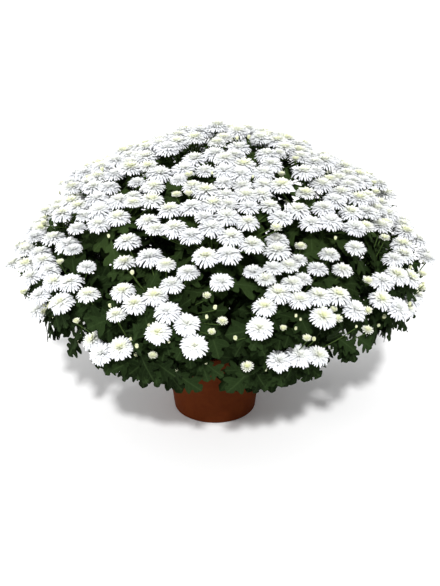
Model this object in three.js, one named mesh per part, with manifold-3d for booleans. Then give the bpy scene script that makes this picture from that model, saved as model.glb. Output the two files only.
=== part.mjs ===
// A pot chrysanthemum: a round bush of white flowers over dark lobed leaves, in a plain tapered pot.
// Millimetres, +Z up. The origin is the centre of the pot's flat base.
//
// The bush is a set of sprays. Each spray is a leafy stem, which rises from its own hole in the soil,
// leans out and forks into flower stalks, and a bunch of blooms, one on each stalk.
// Stems follow flow lines: straight rays from a point deep in the pot, which sag once past the rim.
// A spray keeps to the space nearer to its own flow line than to any other spray's, so none cross.

import * as THREE from 'three';
import { ConvexHull } from 'three/addons/math/ConvexHull.js';
import { mergeVertices } from 'three/addons/utils/BufferGeometryUtils.js';
import Module from 'manifold-3d';

const wasm = await Module();
wasm.setup();

// ---- driving dimensions ------------------------------------------------------------------------

const POT = {
  baseRadius: 90,
  mouthRadius: 110,
  height: 165,
  wall: 5,
  floor: 5,
  bandHeight: 18,
  bandProud: 3,
  bandEdge: 2, // height of the slope under the band
  sides: 32,
  drainHoles: 4,
  drainRadius: 6,
  drainSides: 6,
  drainRing: 52,
};
const SOIL = { top: 147, sides: 32 };
const GAP = 0.3; // between pieces that touch

// The flow lines: rays from the root point, sagging by up to SAG.depth beyond the pot's rim.
const ROOT_HEIGHT = 100;
const SAG = { start: 125, depth: 102, length: 120 };

// The crown is the rounded surface that the blooms lie on: flatter than a ball between its top and its
// widest part, and a little to one side of the pot. Fullness is 2 for an ellipse and 1 for a cone.
const CROWN = { radius: 428, centre: 368, up: 240, down: 300, fullness: 1.45, aside: 15 };
// The bush's underside rises outwards from the pot, and nothing hangs below it.
const UNDERSIDE = { height: 156, level: 250, slope: 0.8 };

// The rings of sprays, from the top down. Polar is the angle from the crown's top, and turn is where
// the ring starts. Hanging leaves are the skirt round the pot. Bends are where a stem has a
// cross-section between the pot's rim and its end.
const RINGS = [
  { sprays: 3, polar: 21, turn: 35, blooms: 12, leaves: 4, hanging: 0, bends: [0.5] },
  { sprays: 7, polar: 45.5, turn: 10, blooms: 11, leaves: 4, hanging: 0, bends: [0.5] },
  { sprays: 10, polar: 71.5, turn: 0, blooms: 8, leaves: 5, hanging: 0, bends: [0.3, 0.65] },
  { sprays: 8, polar: 107, turn: 18, blooms: 3, leaves: 9, hanging: 6, bends: [0.2, 0.45, 0.72] },
];
const SEED = 1000;
// How much the sprays stray from even places: as a share of the space between two, in degrees
// towards or away from the top, and as a share of the crown's radius.
const STRAY = { azimuth: 0.3, polar: 5, lift: 0.045 };
const SPRAY_GAP = 2.2; // least gap between neighbouring sprays

const STEM = {
  buried: 12,
  rootRadius: 3.3,
  forkRadius: 2.5,
  forkDepth: 105, // from the blooms down to the fork
  socket: 36, // from the fork down to the end of the plain stem
  straight: 0.6, // most of its length that a stem is straight for
};
const CORE = {
  share: 0.62, // depth of the valleys between flower stalks, as a share of the shortest stalk
  lean: 0.2,
  least: 5,
  stalkThickness: 2,
  stalkFoot: 0.5,
  belowBlooms: 9,
  overPot: 8,
  shrink: 0.93,
};
const CLEAR = { stalk: 2.5, stalkFrom: 0.3, stalkStep: 0.1, overPot: 10, roundPot: 9 };

const BLOOM = {
  radius: 23,
  spread: 0.08, // how much a bloom's size varies
  petals: 5, // petal tips round a tier
  notch: 0.8,
  innerTier: 0.58,
  innerHeight: 0.36,
  cupDepth: 0.42,
  rim: -0.03,
  reach: 0.82, // centres of joined blooms, as a share of their radii's sum
  apart: 1, // the same for blooms that aren't joined
  sunk: 0.07, // how far inside the other bloom a joining tip lies, as a share of the radius
  step: 6, // most that a bloom stands above or below the one it joins
  offCrown: 22, // most that it stands out of the crown or is sunk into it
  rise: 8,
  overUnderside: 12,
  wide: 1.03, // the flattened ball round a bloom, as shares of its radius
  tall: 0.42,
  tries: 500,
};
// A bloom faces partly out of the crown, partly up and partly along its stalk.
const FACING = { outward: 0.5, up: 0.32, alongStalk: 0.3, least: 0.15, stray: 0.16 };

const LEAF = {
  length: 66,
  halfWidth: 23,
  spread: 0.16,
  thickness: 2.8,
  middle: 0.52,
  curl: 0.16,
  sink: 2,
  skirtLength: 84,
  fold: 0.1,
  apart: 34, // least distance between the middles of a spray's leaves
  tilt: 0.5, // how far it faces out of the crown and not straight up
  tries: 400,
};
// Where a leaf grows from, and which way. On a flower stalk: shares of the stalk's length, and how
// much it turns outwards. In the skirt: millimetres out from the pot, degrees round, and the fall.
const LEAF_SITE = { from: 0.5, over: 0.2, outward: 0.15, outwardOver: 0.6 };
const SKIRT_SITE = { fromPot: 22, out: 0.9, fan: 150, fall: 0.25, fallOver: 0.65 };
// Half of a leaf's outline from the stalk to the tip, as shares of its length and half width.
const LEAF_OUTLINE = [
  [0.38, 0.7],
  [0.48, 0.36],
  [0.7, 1],
];

const POT_COLOUR = 0x8a4a2c;
const SOIL_COLOUR = 0x33261c;
const LEAF_COLOUR = 0x34502f;
const PETAL_COLOUR = 0xf3f4ec;

// ---- helpers -----------------------------------------------------------------------------------

const UP = new THREE.Vector3(0, 0, 1);
const radians = THREE.MathUtils.degToRad;
const clamp = THREE.MathUtils.clamp;

// A repeatable run of numbers from 0 up to 1.
function randomFrom(seed) {
  let state = (seed * 7919 + 12345) % 4294967296;
  const next = () => {
    state = (state * 1664525 + 1013904223) % 4294967296;
    return state / 4294967296;
  };
  for (let warmUp = 0; warmUp < 5; warmUp++) next();
  return next;
}

function polarPoint(radius, azimuth, height) {
  return new THREE.Vector3(radius * Math.cos(azimuth), radius * Math.sin(azimuth), height);
}

function meshGeometry(points, triangles) {
  const geometry = new THREE.BufferGeometry();
  const coordinates = points.flatMap((point) => [point.x, point.y, point.z]);
  geometry.setAttribute('position', new THREE.Float32BufferAttribute(coordinates, 3));
  geometry.setIndex(triangles.flat());
  return geometry;
}

function solidFrom(geometry) {
  const bare = geometry.clone();
  bare.deleteAttribute('normal');
  bare.deleteAttribute('uv');
  const merged = mergeVertices(bare, 1e-4);
  return new wasm.Manifold(new wasm.Mesh({
    numProp: 3,
    vertProperties: merged.attributes.position.array,
    triVerts: new Uint32Array(merged.index.array),
  }));
}

function geometryFrom(solid) {
  const { vertProperties, triVerts } = solid.getMesh();
  const geometry = new THREE.BufferGeometry();
  geometry.setAttribute('position', new THREE.BufferAttribute(new Float32Array(vertProperties), 3));
  geometry.setIndex(new THREE.BufferAttribute(new Uint32Array(triVerts), 1));
  return geometry;
}

function joined(geometries) {
  return geometries.map(solidFrom).reduce((whole, part) => whole.add(part));
}

// ---- flow lines and the space of each spray ----------------------------------------------------

function sag(radius) {
  const past = Math.max(0, radius - SAG.start);
  return SAG.depth * (1 - Math.exp(-past / SAG.length));
}

// The point at a distance along the flow line that leaves the root point at an angle from vertical.
function flowPoint(azimuth, angle, distance) {
  const radius = distance * Math.sin(angle);
  return polarPoint(radius, azimuth, ROOT_HEIGHT + distance * Math.cos(angle) - sag(radius));
}

// Where a flow line leads to on a flat map of the crown, whose middle is the crown's top.
// Below the bulge the crown turns under, so the same angle covers more of it.
const MAP = { perDegree: 10.4, bulge: 50, extra: 15 };

function flowOf(point) {
  const radius = Math.hypot(point.x, point.y);
  const rise = point.z + sag(radius) - ROOT_HEIGHT;
  const angle = Math.atan2(radius, rise);
  const degrees = THREE.MathUtils.radToDeg(angle);
  const reach = MAP.perDegree * degrees + MAP.extra * Math.max(0, degrees - MAP.bulge);
  const distance = Math.hypot(radius, rise);
  const perDegree = MAP.perDegree + (degrees > MAP.bulge ? MAP.extra : 0);
  const across = radius > 1 ? radius / reach : 1;
  return {
    angle,
    distance,
    azimuth: Math.atan2(point.y, point.x),
    x: radius > 0 ? (reach * point.x) / radius : 0,
    y: radius > 0 ? (reach * point.y) / radius : 0,
    scale: Math.min(across, radians(distance) / perDegree), // millimetres in space per millimetre on the map
  };
}

// Whether a point keeps its distance from the space of every other spray.
function inOwnSpace(point, spray, gap) {
  const flow = flowOf(point);
  return sprays.every((other) => {
    if (other === spray) return true;
    const ownX = flow.x - spray.flow.x;
    const ownY = flow.y - spray.flow.y;
    const otherX = flow.x - other.flow.x;
    const otherY = flow.y - other.flow.y;
    const between = Math.hypot(other.flow.x - spray.flow.x, other.flow.y - spray.flow.y);
    const toBorder = (otherX * otherX + otherY * otherY - ownX * ownX - ownY * ownY) / (2 * between);
    return toBorder * flow.scale > gap;
  });
}

// ---- the crown ---------------------------------------------------------------------------------

function crownPoint(azimuth, polar, lift) {
  const [rise, out] = [Math.cos(polar), Math.sin(polar)];
  const radius = CROWN.radius * lift * out ** (2 / CROWN.fullness);
  const above = (rise > 0 ? CROWN.up : -CROWN.down) * lift * Math.abs(rise) ** (2 / CROWN.fullness);
  const point = polarPoint(radius, azimuth, CROWN.centre + above);
  point.x += CROWN.aside;
  return point;
}

// How far a point lies outside the crown, and the crown's outward direction there.
function crownAt(point, lift) {
  const { radius, centre, up, down, fullness, aside } = CROWN;
  const tall = point.z > centre ? up : -down;
  const out = Math.hypot(point.x - aside, point.y) / radius;
  const rise = (point.z - centre) / tall;
  const share = (out ** fullness + rise ** fullness) ** (1 / fullness);
  const outSlope = (out / share) ** (fullness - 1) / radius;
  const riseSlope = (rise / share) ** (fullness - 1) / tall;
  const azimuth = Math.atan2(point.y, point.x - aside);
  const normal = polarPoint(outSlope, azimuth, riseSlope);
  return { outside: (share - lift) / normal.length(), normal: normal.normalize() };
}

function aboveUnderside(point) {
  const past = Math.max(0, Math.hypot(point.x, point.y) - UNDERSIDE.level);
  return point.z - UNDERSIDE.height - UNDERSIDE.slope * past;
}

function layOutSprays() {
  const sprays = [];
  RINGS.forEach((ring) => {
    for (let i = 0; i < ring.sprays; i++) {
      const random = randomFrom(SEED + sprays.length);
      const place = i + STRAY.azimuth * (random() - 0.5);
      const azimuth = radians(ring.turn + (360 * place) / ring.sprays);
      const polar = radians(ring.polar + STRAY.polar * (random() - 0.5));
      const lift = 1 + STRAY.lift * (2 * random() - 1);
      const heart = crownPoint(azimuth, polar, lift);
      const flow = flowOf(heart);
      const fork = flowPoint(flow.azimuth, flow.angle, flow.distance - STEM.forkDepth);
      sprays.push({ ring, random, lift, heart, flow, fork, blooms: [], leaves: [] });
    }
  });
  return sprays;
}

// ---- blooms ------------------------------------------------------------------------------------

// A bloom's centre, radius and axes. Its front is turned towards a point.
function makeBloom(spray, centre, radius, towards) {
  const outward = crownAt(centre, spray.lift).normal;
  outward.z = Math.max(outward.z, FACING.least);
  const along = centre.clone().sub(spray.fork).normalize();
  const normal = outward.normalize().multiplyScalar(FACING.outward)
    .addScaledVector(UP, FACING.up)
    .addScaledVector(along, FACING.alongStalk);
  normal.x += FACING.stray * (spray.random() - 0.5);
  normal.y += FACING.stray * (spray.random() - 0.5);
  normal.normalize();
  const front = towards.clone().sub(centre);
  front.addScaledVector(normal, -front.dot(normal)).normalize();
  const side = normal.clone().cross(front);
  const base = centre.clone().addScaledVector(normal, -BLOOM.cupDepth * radius);
  return { centre, radius, normal, front, side, base };
}

// Whether a point is clear of a bloom by a margin, taking the bloom as a flattened ball.
function clearOfBloom(point, bloom, margin) {
  const offset = point.clone().sub(bloom.centre);
  const height = offset.dot(bloom.normal);
  const across = Math.sqrt(Math.max(0, offset.lengthSq() - height * height));
  const wide = bloom.radius * BLOOM.wide + margin;
  const tall = bloom.radius * BLOOM.tall + margin;
  return (across / wide) ** 2 + ((height - BLOOM.rim * bloom.radius) / tall) ** 2 > 1;
}

function stalkClearOf(spray, bloom, other) {
  for (let share = CLEAR.stalkFrom; share < 1; share += CLEAR.stalkStep) {
    const point = spray.fork.clone().lerp(bloom.base, share);
    if (!clearOfBloom(point, other, CLEAR.stalk)) return false;
  }
  return true;
}

// Whether a bloom's foremost petal tip is sunk well into the bloom that it joins.
function joins(bloom, parent) {
  const tip = bloom.centre.clone().addScaledVector(bloom.front, bloom.radius)
    .addScaledVector(bloom.normal, BLOOM.rim * bloom.radius).sub(parent.centre).divideScalar(parent.radius);
  const height = tip.dot(parent.normal);
  const across = Math.hypot(tip.dot(parent.front), tip.dot(parent.side));
  const turn = Math.atan2(tip.dot(parent.side), tip.dot(parent.front));
  const petal = (turn * BLOOM.petals) / (2 * Math.PI);
  const toNotch = 2 * Math.abs(petal - Math.round(petal)); // 0 at a petal's tip, 1 at a notch
  const flat = Math.cos(Math.PI / BLOOM.petals);
  const edge = 1 + toNotch * (BLOOM.notch - 1);
  const inner = BLOOM.innerTier * (flat + (1 - flat) * toNotch);
  const outer = Math.max(0, across - inner) / (edge - inner);
  const below = -BLOOM.cupDepth + ((BLOOM.cupDepth + BLOOM.rim) * across) / edge;
  const above = BLOOM.innerHeight + (BLOOM.rim - BLOOM.innerHeight) * outer;
  return height > below + BLOOM.sunk && height < above - BLOOM.sunk;
}

function bloomFits(spray, bloom, parent) {
  if (aboveUnderside(bloom.centre) < BLOOM.overUnderside || !joins(bloom, parent)) return false;
  if (Math.abs(crownAt(bloom.centre, spray.lift).outside) > BLOOM.offCrown) return false;
  for (let turn = 0; turn < 2 * Math.PI; turn += Math.PI / 4) {
    const edge = bloom.centre.clone()
      .addScaledVector(bloom.front, bloom.radius * Math.cos(turn))
      .addScaledVector(bloom.side, bloom.radius * Math.sin(turn));
    if (!inOwnSpace(edge, spray, SPRAY_GAP)) return false;
  }
  return spray.blooms.every((other) => {
    const apart = other === parent ? BLOOM.reach - 0.01 : BLOOM.apart;
    if (other.centre.distanceTo(bloom.centre) < apart * (other.radius + bloom.radius)) return false;
    return stalkClearOf(spray, bloom, other) && stalkClearOf(spray, other, bloom);
  });
}

// A bunch grows from the spray's heart: each bloom joins an earlier one, with a petal tip towards it.
function growBlooms(spray) {
  const { random } = spray;
  const size = () => BLOOM.radius * (1 + BLOOM.spread * (2 * random() - 1));
  const anySide = polarPoint(2 * CROWN.radius, 2 * Math.PI * random(), 0);
  spray.blooms.push(makeBloom(spray, spray.heart.clone(), size(), anySide));
  for (let tries = 0; tries < BLOOM.tries && spray.blooms.length < spray.ring.blooms; tries++) {
    const parent = spray.blooms[Math.floor(random() * spray.blooms.length)];
    const turn = 2 * Math.PI * random();
    const radius = size();
    const reach = BLOOM.reach * (parent.radius + radius);
    const centre = parent.centre.clone()
      .addScaledVector(parent.front, reach * Math.cos(turn))
      .addScaledVector(parent.side, reach * Math.sin(turn));
    const outside = crownAt(centre, spray.lift).outside + BLOOM.rise * (random() - 0.5);
    centre.addScaledVector(parent.normal, clamp(-outside, -BLOOM.step, BLOOM.step));
    const bloom = makeBloom(spray, centre, radius, parent.centre);
    if (bloomFits(spray, bloom, parent)) spray.blooms.push(bloom);
  }
}

// Two tiers of petals on a shallow cup: a ring of tips and notches, and a raised ring of inner tips.
function bloomGeometry({ centre, radius, normal, front, side }) {
  const count = BLOOM.petals;
  const at = (reach, turn, height) => centre.clone()
    .addScaledVector(front, radius * reach * Math.cos(turn))
    .addScaledVector(side, radius * reach * Math.sin(turn))
    .addScaledVector(normal, radius * height);
  const points = [at(0, 0, -BLOOM.cupDepth)];
  const triangles = [];
  const half = Math.PI / count;
  for (let i = 0; i < count; i++) {
    const turn = 2 * half * i;
    points.push(at(1, turn, BLOOM.rim), at(BLOOM.notch, turn + half, BLOOM.rim * 2));
    points.push(at(BLOOM.innerTier, turn + half, BLOOM.innerHeight));
  }
  const tip = (i) => 1 + 3 * (i % count);
  for (let i = 0; i < count; i++) {
    const [outer, notch, inner] = [tip(i), tip(i) + 1, tip(i) + 2];
    const [nextOuter, lastInner] = [tip(i + 1), tip(i + count - 1) + 2];
    triangles.push([0, notch, outer], [0, nextOuter, notch]);
    triangles.push([outer, notch, inner], [notch, nextOuter, inner], [outer, inner, lastInner]);
    if (i > 1) triangles.push([tip(0) + 2, tip(i - 1) + 2, inner]);
  }
  return meshGeometry(points, triangles);
}

// ---- leafy stems -------------------------------------------------------------------------------

// Distances along the flow line where the stem has a cross-section.
function stemStations(spray) {
  const { angle, distance } = spray.flow;
  const soil = (SOIL.top - ROOT_HEIGHT) / Math.cos(angle);
  const end = distance - STEM.forkDepth - STEM.socket;
  const bend = Math.min(SAG.start / Math.sin(angle), STEM.straight * (soil + end));
  const between = spray.ring.bends.map((share) => bend + share * (end - bend));
  return [soil - STEM.buried, bend, ...between, end];
}

// The direction of a stem at a distance along it.
function stemDirection(spray, distance) {
  const { azimuth, angle } = spray.flow;
  const before = flowPoint(azimuth, angle, distance - 1);
  return flowPoint(azimuth, angle, distance + 1).sub(before).normalize();
}

function stemSection(spray, distance, radius, along) {
  const { azimuth, angle } = spray.flow;
  const centre = flowPoint(azimuth, angle, distance);
  const side = new THREE.Vector3(-Math.sin(azimuth), Math.cos(azimuth), 0);
  const face = along.clone().cross(side);
  return [0, 1, 2, 3].map((corner) => {
    const turn = Math.PI * (0.25 + corner / 2);
    return centre.clone()
      .addScaledVector(side, radius * Math.cos(turn))
      .addScaledVector(face, radius * Math.sin(turn));
  });
}

function hullTriangles(directions) {
  const order = new Map(directions.map((direction, index) => [direction, index]));
  return new ConvexHull().setFromPoints(directions).faces.map((face) => {
    const edge = face.edge;
    return [edge, edge.next, edge.next.next].map((corner) => order.get(corner.head().point));
  });
}

// The low point between neighbouring flower stalks, on the outside of the leafy core.
// It is never so low that the stalks round it get thin.
function valleyPoint(spray, tips, direction) {
  const offsets = tips.map((tip) => tip.clone().sub(spray.fork));
  const nearest = Math.min(...offsets.map((offset) => offset.length()));
  const spread = Math.min(...offsets.map((offset) => offset.angleTo(direction)), Math.PI / 2);
  const least = clamp(CORE.stalkThickness / Math.sin(spread), CORE.least, CORE.stalkFoot * nearest);
  const fits = (point) => inOwnSpace(point, spray, SPRAY_GAP) && point.z > POT.height + CORE.overPot
    && spray.blooms.every((bloom) => clearOfBloom(point, bloom, CORE.belowBlooms));
  let reach = CORE.share * nearest;
  const at = (distance) => spray.fork.clone().addScaledVector(direction, distance);
  while (reach > least && !fits(at(reach))) reach *= CORE.shrink;
  return at(Math.max(reach, least));
}

// The stem is a four-sided tube that widens into a leafy core, and a spike for each flower stalk
// stands out of the core, with a valley between each three.
function stemGeometry(spray) {
  const stations = stemStations(spray);
  const points = [];
  const triangles = [];
  stations.forEach((distance, i) => {
    const share = i / (stations.length - 1);
    const radius = STEM.rootRadius + share * (STEM.forkRadius - STEM.rootRadius);
    points.push(...stemSection(spray, distance, radius, stemDirection(spray, distance)));
  });
  triangles.push([0, 2, 1], [0, 3, 2]);
  for (let i = 0; i < stations.length - 1; i++) {
    for (let corner = 0; corner < 4; corner++) {
      const [a, b] = [4 * i + corner, 4 * i + ((corner + 1) % 4)];
      triangles.push([a, b, b + 4], [a, b + 4, a + 4]);
    }
  }
  const port = points.length - 4;
  const corners = points.slice(port);
  const back = corners[0].clone().add(corners[2]).multiplyScalar(0.5);
  const forward = spray.fork.clone().sub(back).normalize();
  const tips = spray.blooms.map((bloom) => bloom.base.clone().addScaledVector(bloom.normal, -GAP));
  const spokes = tips.map((tip) => tip.clone().sub(spray.fork).normalize());
  const skirts = corners.map((corner) => {
    const outwards = corner.clone().sub(back).normalize();
    return outwards.addScaledVector(forward, -CORE.lean).normalize();
  });
  const directions = [...spokes, ...skirts, forward.clone().negate()];
  points.push(...tips, ...skirts.map((skirt) => valleyPoint(spray, tips, skirt)));
  const first = port + 4;
  const isTip = (i) => i < tips.length;
  const facingOut = (triangle) => {
    const [a, b, c] = triangle.map((i) => points[i].clone().sub(spray.fork));
    return a.dot(b.cross(c)) > 0;
  };

  // A facet that joins two or three stalks gets a valley, and the edges between stalks turn into valleys.
  const facets = hullTriangles(directions);
  const valleyAcross = new Map();
  facets.forEach((facet) => {
    if (facet.filter(isTip).length < 2) {
      if (!facet.includes(directions.length - 1)) triangles.push(facet.map((i) => first + i));
      return;
    }
    const middle = facet.map((i) => directions[i]).reduce((sum, spoke) => sum.clone().add(spoke));
    const facetTips = facet.filter(isTip).map((i) => tips[i]);
    const valley = points.push(valleyPoint(spray, facetTips, middle.normalize())) - 1;
    facet.forEach((a, i) => {
      const b = facet[(i + 1) % 3];
      const across = valleyAcross.get(`${b},${a}`);
      if (!isTip(a) || !isTip(b)) triangles.push([first + a, first + b, valley]);
      else if (across === undefined) valleyAcross.set(`${a},${b}`, valley);
      else {
        const turned = [[first + a, across, valley], [first + b, valley, across]];
        if (turned.every(facingOut)) triangles.push(...turned);
        else triangles.push([first + a, first + b, valley], [first + b, first + a, across]);
      }
    });
  });
  for (let corner = 0; corner < 4; corner++) {
    const next = (corner + 1) % 4;
    const [here, skirt] = [port + corner, first + tips.length];
    triangles.push([here, port + next, skirt + next], [here, skirt + next, skirt + corner]);
  }
  return meshGeometry(points, triangles);
}

// How far a leaf's blade lies below its straight axis: it curls down and folds a little.
function leafDroop({ length, halfWidth, curl }, reach, across) {
  return curl * length * reach * reach + LEAF.fold * halfWidth * Math.abs(across);
}

// A leaf's points: the middle's upper and lower point, and its outline, which starts at the root.
function leafPoints(leaf) {
  const { root, along, face, length, halfWidth } = leaf;
  const side = face.clone().cross(along);
  const at = (reach, across, height) => root.clone()
    .addScaledVector(along, length * reach)
    .addScaledVector(side, halfWidth * across)
    .addScaledVector(face, height - leafDroop(leaf, reach, across));
  const half = LEAF.thickness / 2;
  return [
    at(LEAF.middle, 0, half),
    at(LEAF.middle, 0, -half),
    at(0, 0, 0),
    ...LEAF_OUTLINE.map(([reach, across]) => at(reach, -across, 0)),
    at(1, 0, 0),
    ...LEAF_OUTLINE.toReversed().map(([reach, across]) => at(reach, across, 0)),
  ];
}

function leafGeometry(leaf) {
  const points = leafPoints(leaf);
  const [upper, lower, root] = [0, 1, 2];
  const triangles = [];
  for (let i = root; i < points.length; i++) {
    const next = i + 1 < points.length ? i + 1 : root;
    triangles.push([upper, i, next], [lower, next, i]);
  }
  return meshGeometry(points, triangles);
}

// Whether a flower stalk passes through a leaf's blade, past the part next to the leaf's own stalk.
function crossesLeaf(from, to, leaf) {
  const side = leaf.face.clone().cross(leaf.along);
  const steps = Math.ceil(from.distanceTo(to) / 3);
  for (let i = 0; i <= steps; i++) {
    const offset = from.clone().lerp(to, i / steps).sub(leaf.root);
    const reach = offset.dot(leaf.along) / leaf.length;
    const across = offset.dot(side) / leaf.halfWidth;
    const overBlade = reach > 0.2 && reach < 1.05 && Math.abs(across) < 1.1;
    const height = offset.dot(leaf.face) + leafDroop(leaf, reach, across);
    if (overBlade && Math.abs(height) < LEAF.thickness / 2 + CLEAR.stalk) return true;
  }
  return false;
}

function leafFits(spray, leaf) {
  if (spray.leaves.some((other) => other.middle.distanceTo(leaf.middle) < LEAF.apart)) return false;
  if (spray.blooms.some((bloom) => crossesLeaf(spray.fork, bloom.base, leaf))) return false;
  const points = leafPoints(leaf);
  const outline = points.slice(3);
  const edges = outline.slice(1).map((point, i) => point.clone().lerp(outline[i], 0.5));
  const spine = [0.35, 0.6, 0.8].map((share) => points[0].clone().lerp(leaf.root, share));
  return [points[0], ...outline, ...edges, ...spine].every((point) => {
    const radius = Math.hypot(point.x, point.y);
    const nearPot = radius < POT.mouthRadius + CLEAR.roundPot && point.z < POT.height + CLEAR.overPot;
    if (nearPot || aboveUnderside(point) < 0 || !inOwnSpace(point, spray, SPRAY_GAP)) return false;
    return spray.blooms.every((bloom) => clearOfBloom(point, bloom, CLEAR.stalk));
  });
}

// Where a leaf grows from: on the stem for the skirt that hangs round the pot, else on a flower stalk.
function leafSite(spray, hangs) {
  const { random } = spray;
  if (hangs) {
    const { azimuth, angle } = spray.flow;
    const start = (POT.mouthRadius + SKIRT_SITE.fromPot) / Math.sin(angle);
    const end = spray.flow.distance - STEM.forkDepth - STEM.socket;
    const root = flowPoint(azimuth, angle, start + random() * (end - start));
    const towards = azimuth + radians(SKIRT_SITE.fan) * (random() - 0.5);
    const fall = SKIRT_SITE.fall + SKIRT_SITE.fallOver * random();
    const along = polarPoint(SKIRT_SITE.out, towards, -fall);
    return { root, along: along.normalize() };
  }
  const bloom = spray.blooms[Math.floor(random() * spray.blooms.length)];
  const root = spray.fork.clone().lerp(bloom.base, LEAF_SITE.from + LEAF_SITE.over * random());
  const outward = crownAt(root, spray.lift).normal;
  const turn = 2 * Math.PI * random();
  const stalk = bloom.base.clone().sub(spray.fork).normalize();
  const aside = stalk.clone().cross(UP).normalize();
  const over = aside.clone().cross(stalk);
  const along = aside.multiplyScalar(Math.cos(turn))
    .addScaledVector(over, Math.sin(turn))
    .addScaledVector(outward, LEAF_SITE.outward + LEAF_SITE.outwardOver * random());
  return { root, along: along.normalize() };
}

function growLeaves(spray) {
  const { random } = spray;
  for (let tries = 0; tries < LEAF.tries && spray.leaves.length < spray.ring.leaves; tries++) {
    const hangs = spray.leaves.length < spray.ring.hanging;
    const { root, along } = leafSite(spray, hangs);
    const face = UP.clone().addScaledVector(crownAt(root, spray.lift).normal, LEAF.tilt);
    face.addScaledVector(along, -face.dot(along)).normalize();
    const size = 1 + LEAF.spread * (2 * random() - 1);
    const length = (hangs ? LEAF.skirtLength : LEAF.length) * size;
    const halfWidth = LEAF.halfWidth * size;
    const curl = LEAF.curl * (0.5 + random());
    root.addScaledVector(along, -LEAF.sink);
    const middle = root.clone().addScaledVector(along, LEAF.middle * length);
    const leaf = { root, along, face, length, halfWidth, curl, middle };
    if (leafFits(spray, leaf)) spray.leaves.push(leaf);
  }
}

// ---- pot and soil ------------------------------------------------------------------------------

const innerRadius = (height) => {
  const mouth = POT.mouthRadius - POT.wall;
  const floor = POT.baseRadius - POT.wall;
  return floor + ((mouth - floor) * (height - POT.floor)) / (POT.height - POT.floor);
};

function lathe(profile, sides) {
  const points = profile.map(([radius, height]) => new THREE.Vector2(radius, height));
  return new THREE.LatheGeometry(points, sides).rotateX(Math.PI / 2);
}

function potGeometry() {
  const bandFoot = POT.height - POT.bandHeight;
  const taper = (POT.mouthRadius - POT.baseRadius) / POT.height;
  const bandRadius = POT.mouthRadius + POT.bandProud;
  const body = solidFrom(lathe([
    [0, 0],
    [POT.baseRadius, 0],
    [POT.baseRadius + taper * bandFoot, bandFoot],
    [POT.baseRadius + taper * bandFoot + POT.bandProud, bandFoot + POT.bandEdge],
    [bandRadius, POT.height],
    [innerRadius(POT.height), POT.height],
    [innerRadius(POT.floor), POT.floor],
    [0, POT.floor],
  ], POT.sides));
  const drains = Array.from({ length: POT.drainHoles }, (_, i) => {
    const { drainRadius, drainSides, drainRing, floor } = POT;
    const drain = new THREE.CylinderGeometry(drainRadius, drainRadius, 4 * floor, drainSides);
    const place = polarPoint(drainRing, (2 * Math.PI * i) / POT.drainHoles, 0);
    return solidFrom(drain.rotateX(Math.PI / 2).translate(place.x, place.y, 0));
  });
  return geometryFrom(drains.reduce((pot, drain) => pot.subtract(drain), body));
}

// The soil fills the pot. Each stem stands in its own plain hole.
function soilGeometry() {
  const body = solidFrom(lathe([
    [0, POT.floor + GAP],
    [innerRadius(POT.floor) - GAP, POT.floor + GAP],
    [innerRadius(SOIL.top) - GAP, SOIL.top],
    [0, SOIL.top],
  ], SOIL.sides));
  const holes = sprays.map((spray) => {
    const [start] = stemStations(spray);
    const width = STEM.rootRadius + GAP * Math.SQRT2;
    const along = stemDirection(spray, start);
    const ends = [start - GAP, start + 4 * STEM.buried];
    const sections = ends.map((distance) => stemSection(spray, distance, width, along));
    const triangles = [[0, 2, 1], [0, 3, 2], [4, 5, 6], [4, 6, 7]];
    for (let corner = 0; corner < 4; corner++) {
      const next = (corner + 1) % 4;
      triangles.push([corner, next, next + 4], [corner, next + 4, corner + 4]);
    }
    return solidFrom(meshGeometry(sections.flat(), triangles));
  });
  return geometryFrom(holes.reduce((soil, hole) => soil.subtract(hole), body));
}

// ---- the whole plant ---------------------------------------------------------------------------

const sprays = layOutSprays();
sprays.forEach(growBlooms);
sprays.forEach(growLeaves);

const plant = new THREE.Group();

function addMesh(name, geometry, colour, roughness) {
  const material = new THREE.MeshStandardMaterial({ color: colour, roughness, metalness: 0 });
  const mesh = new THREE.Mesh(geometry, material);
  mesh.name = name;
  plant.add(mesh);
}

addMesh('pot', potGeometry(), POT_COLOUR, 0.6);
addMesh('soil', soilGeometry(), SOIL_COLOUR, 0.95);
sprays.forEach((spray, i) => {
  const name = `spray_${String(i + 1).padStart(2, '0')}`;
  const green = joined([stemGeometry(spray), ...spray.leaves.map(leafGeometry)]);
  addMesh(`${name}_leafy_stem`, geometryFrom(green), LEAF_COLOUR, 0.55);
  addMesh(`${name}_blooms`, geometryFrom(joined(spray.blooms.map(bloomGeometry))), PETAL_COLOUR, 0.6);
});

export default plant;
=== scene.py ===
# %% [markdown]
# # A pot chrysanthemum
#
# This lesson dresses a plain model of a pot chrysanthemum until it looks grown.
# The plain model holds a pot, its soil and 28 sprays. A spray is a leafy stem with a bunch of blooms.
# Each spray is kept, in the same place and at the same size, but its blooms get real petals and
# its stem gets real leaves. Everything is worked out in millimetres and made in metres.

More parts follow.
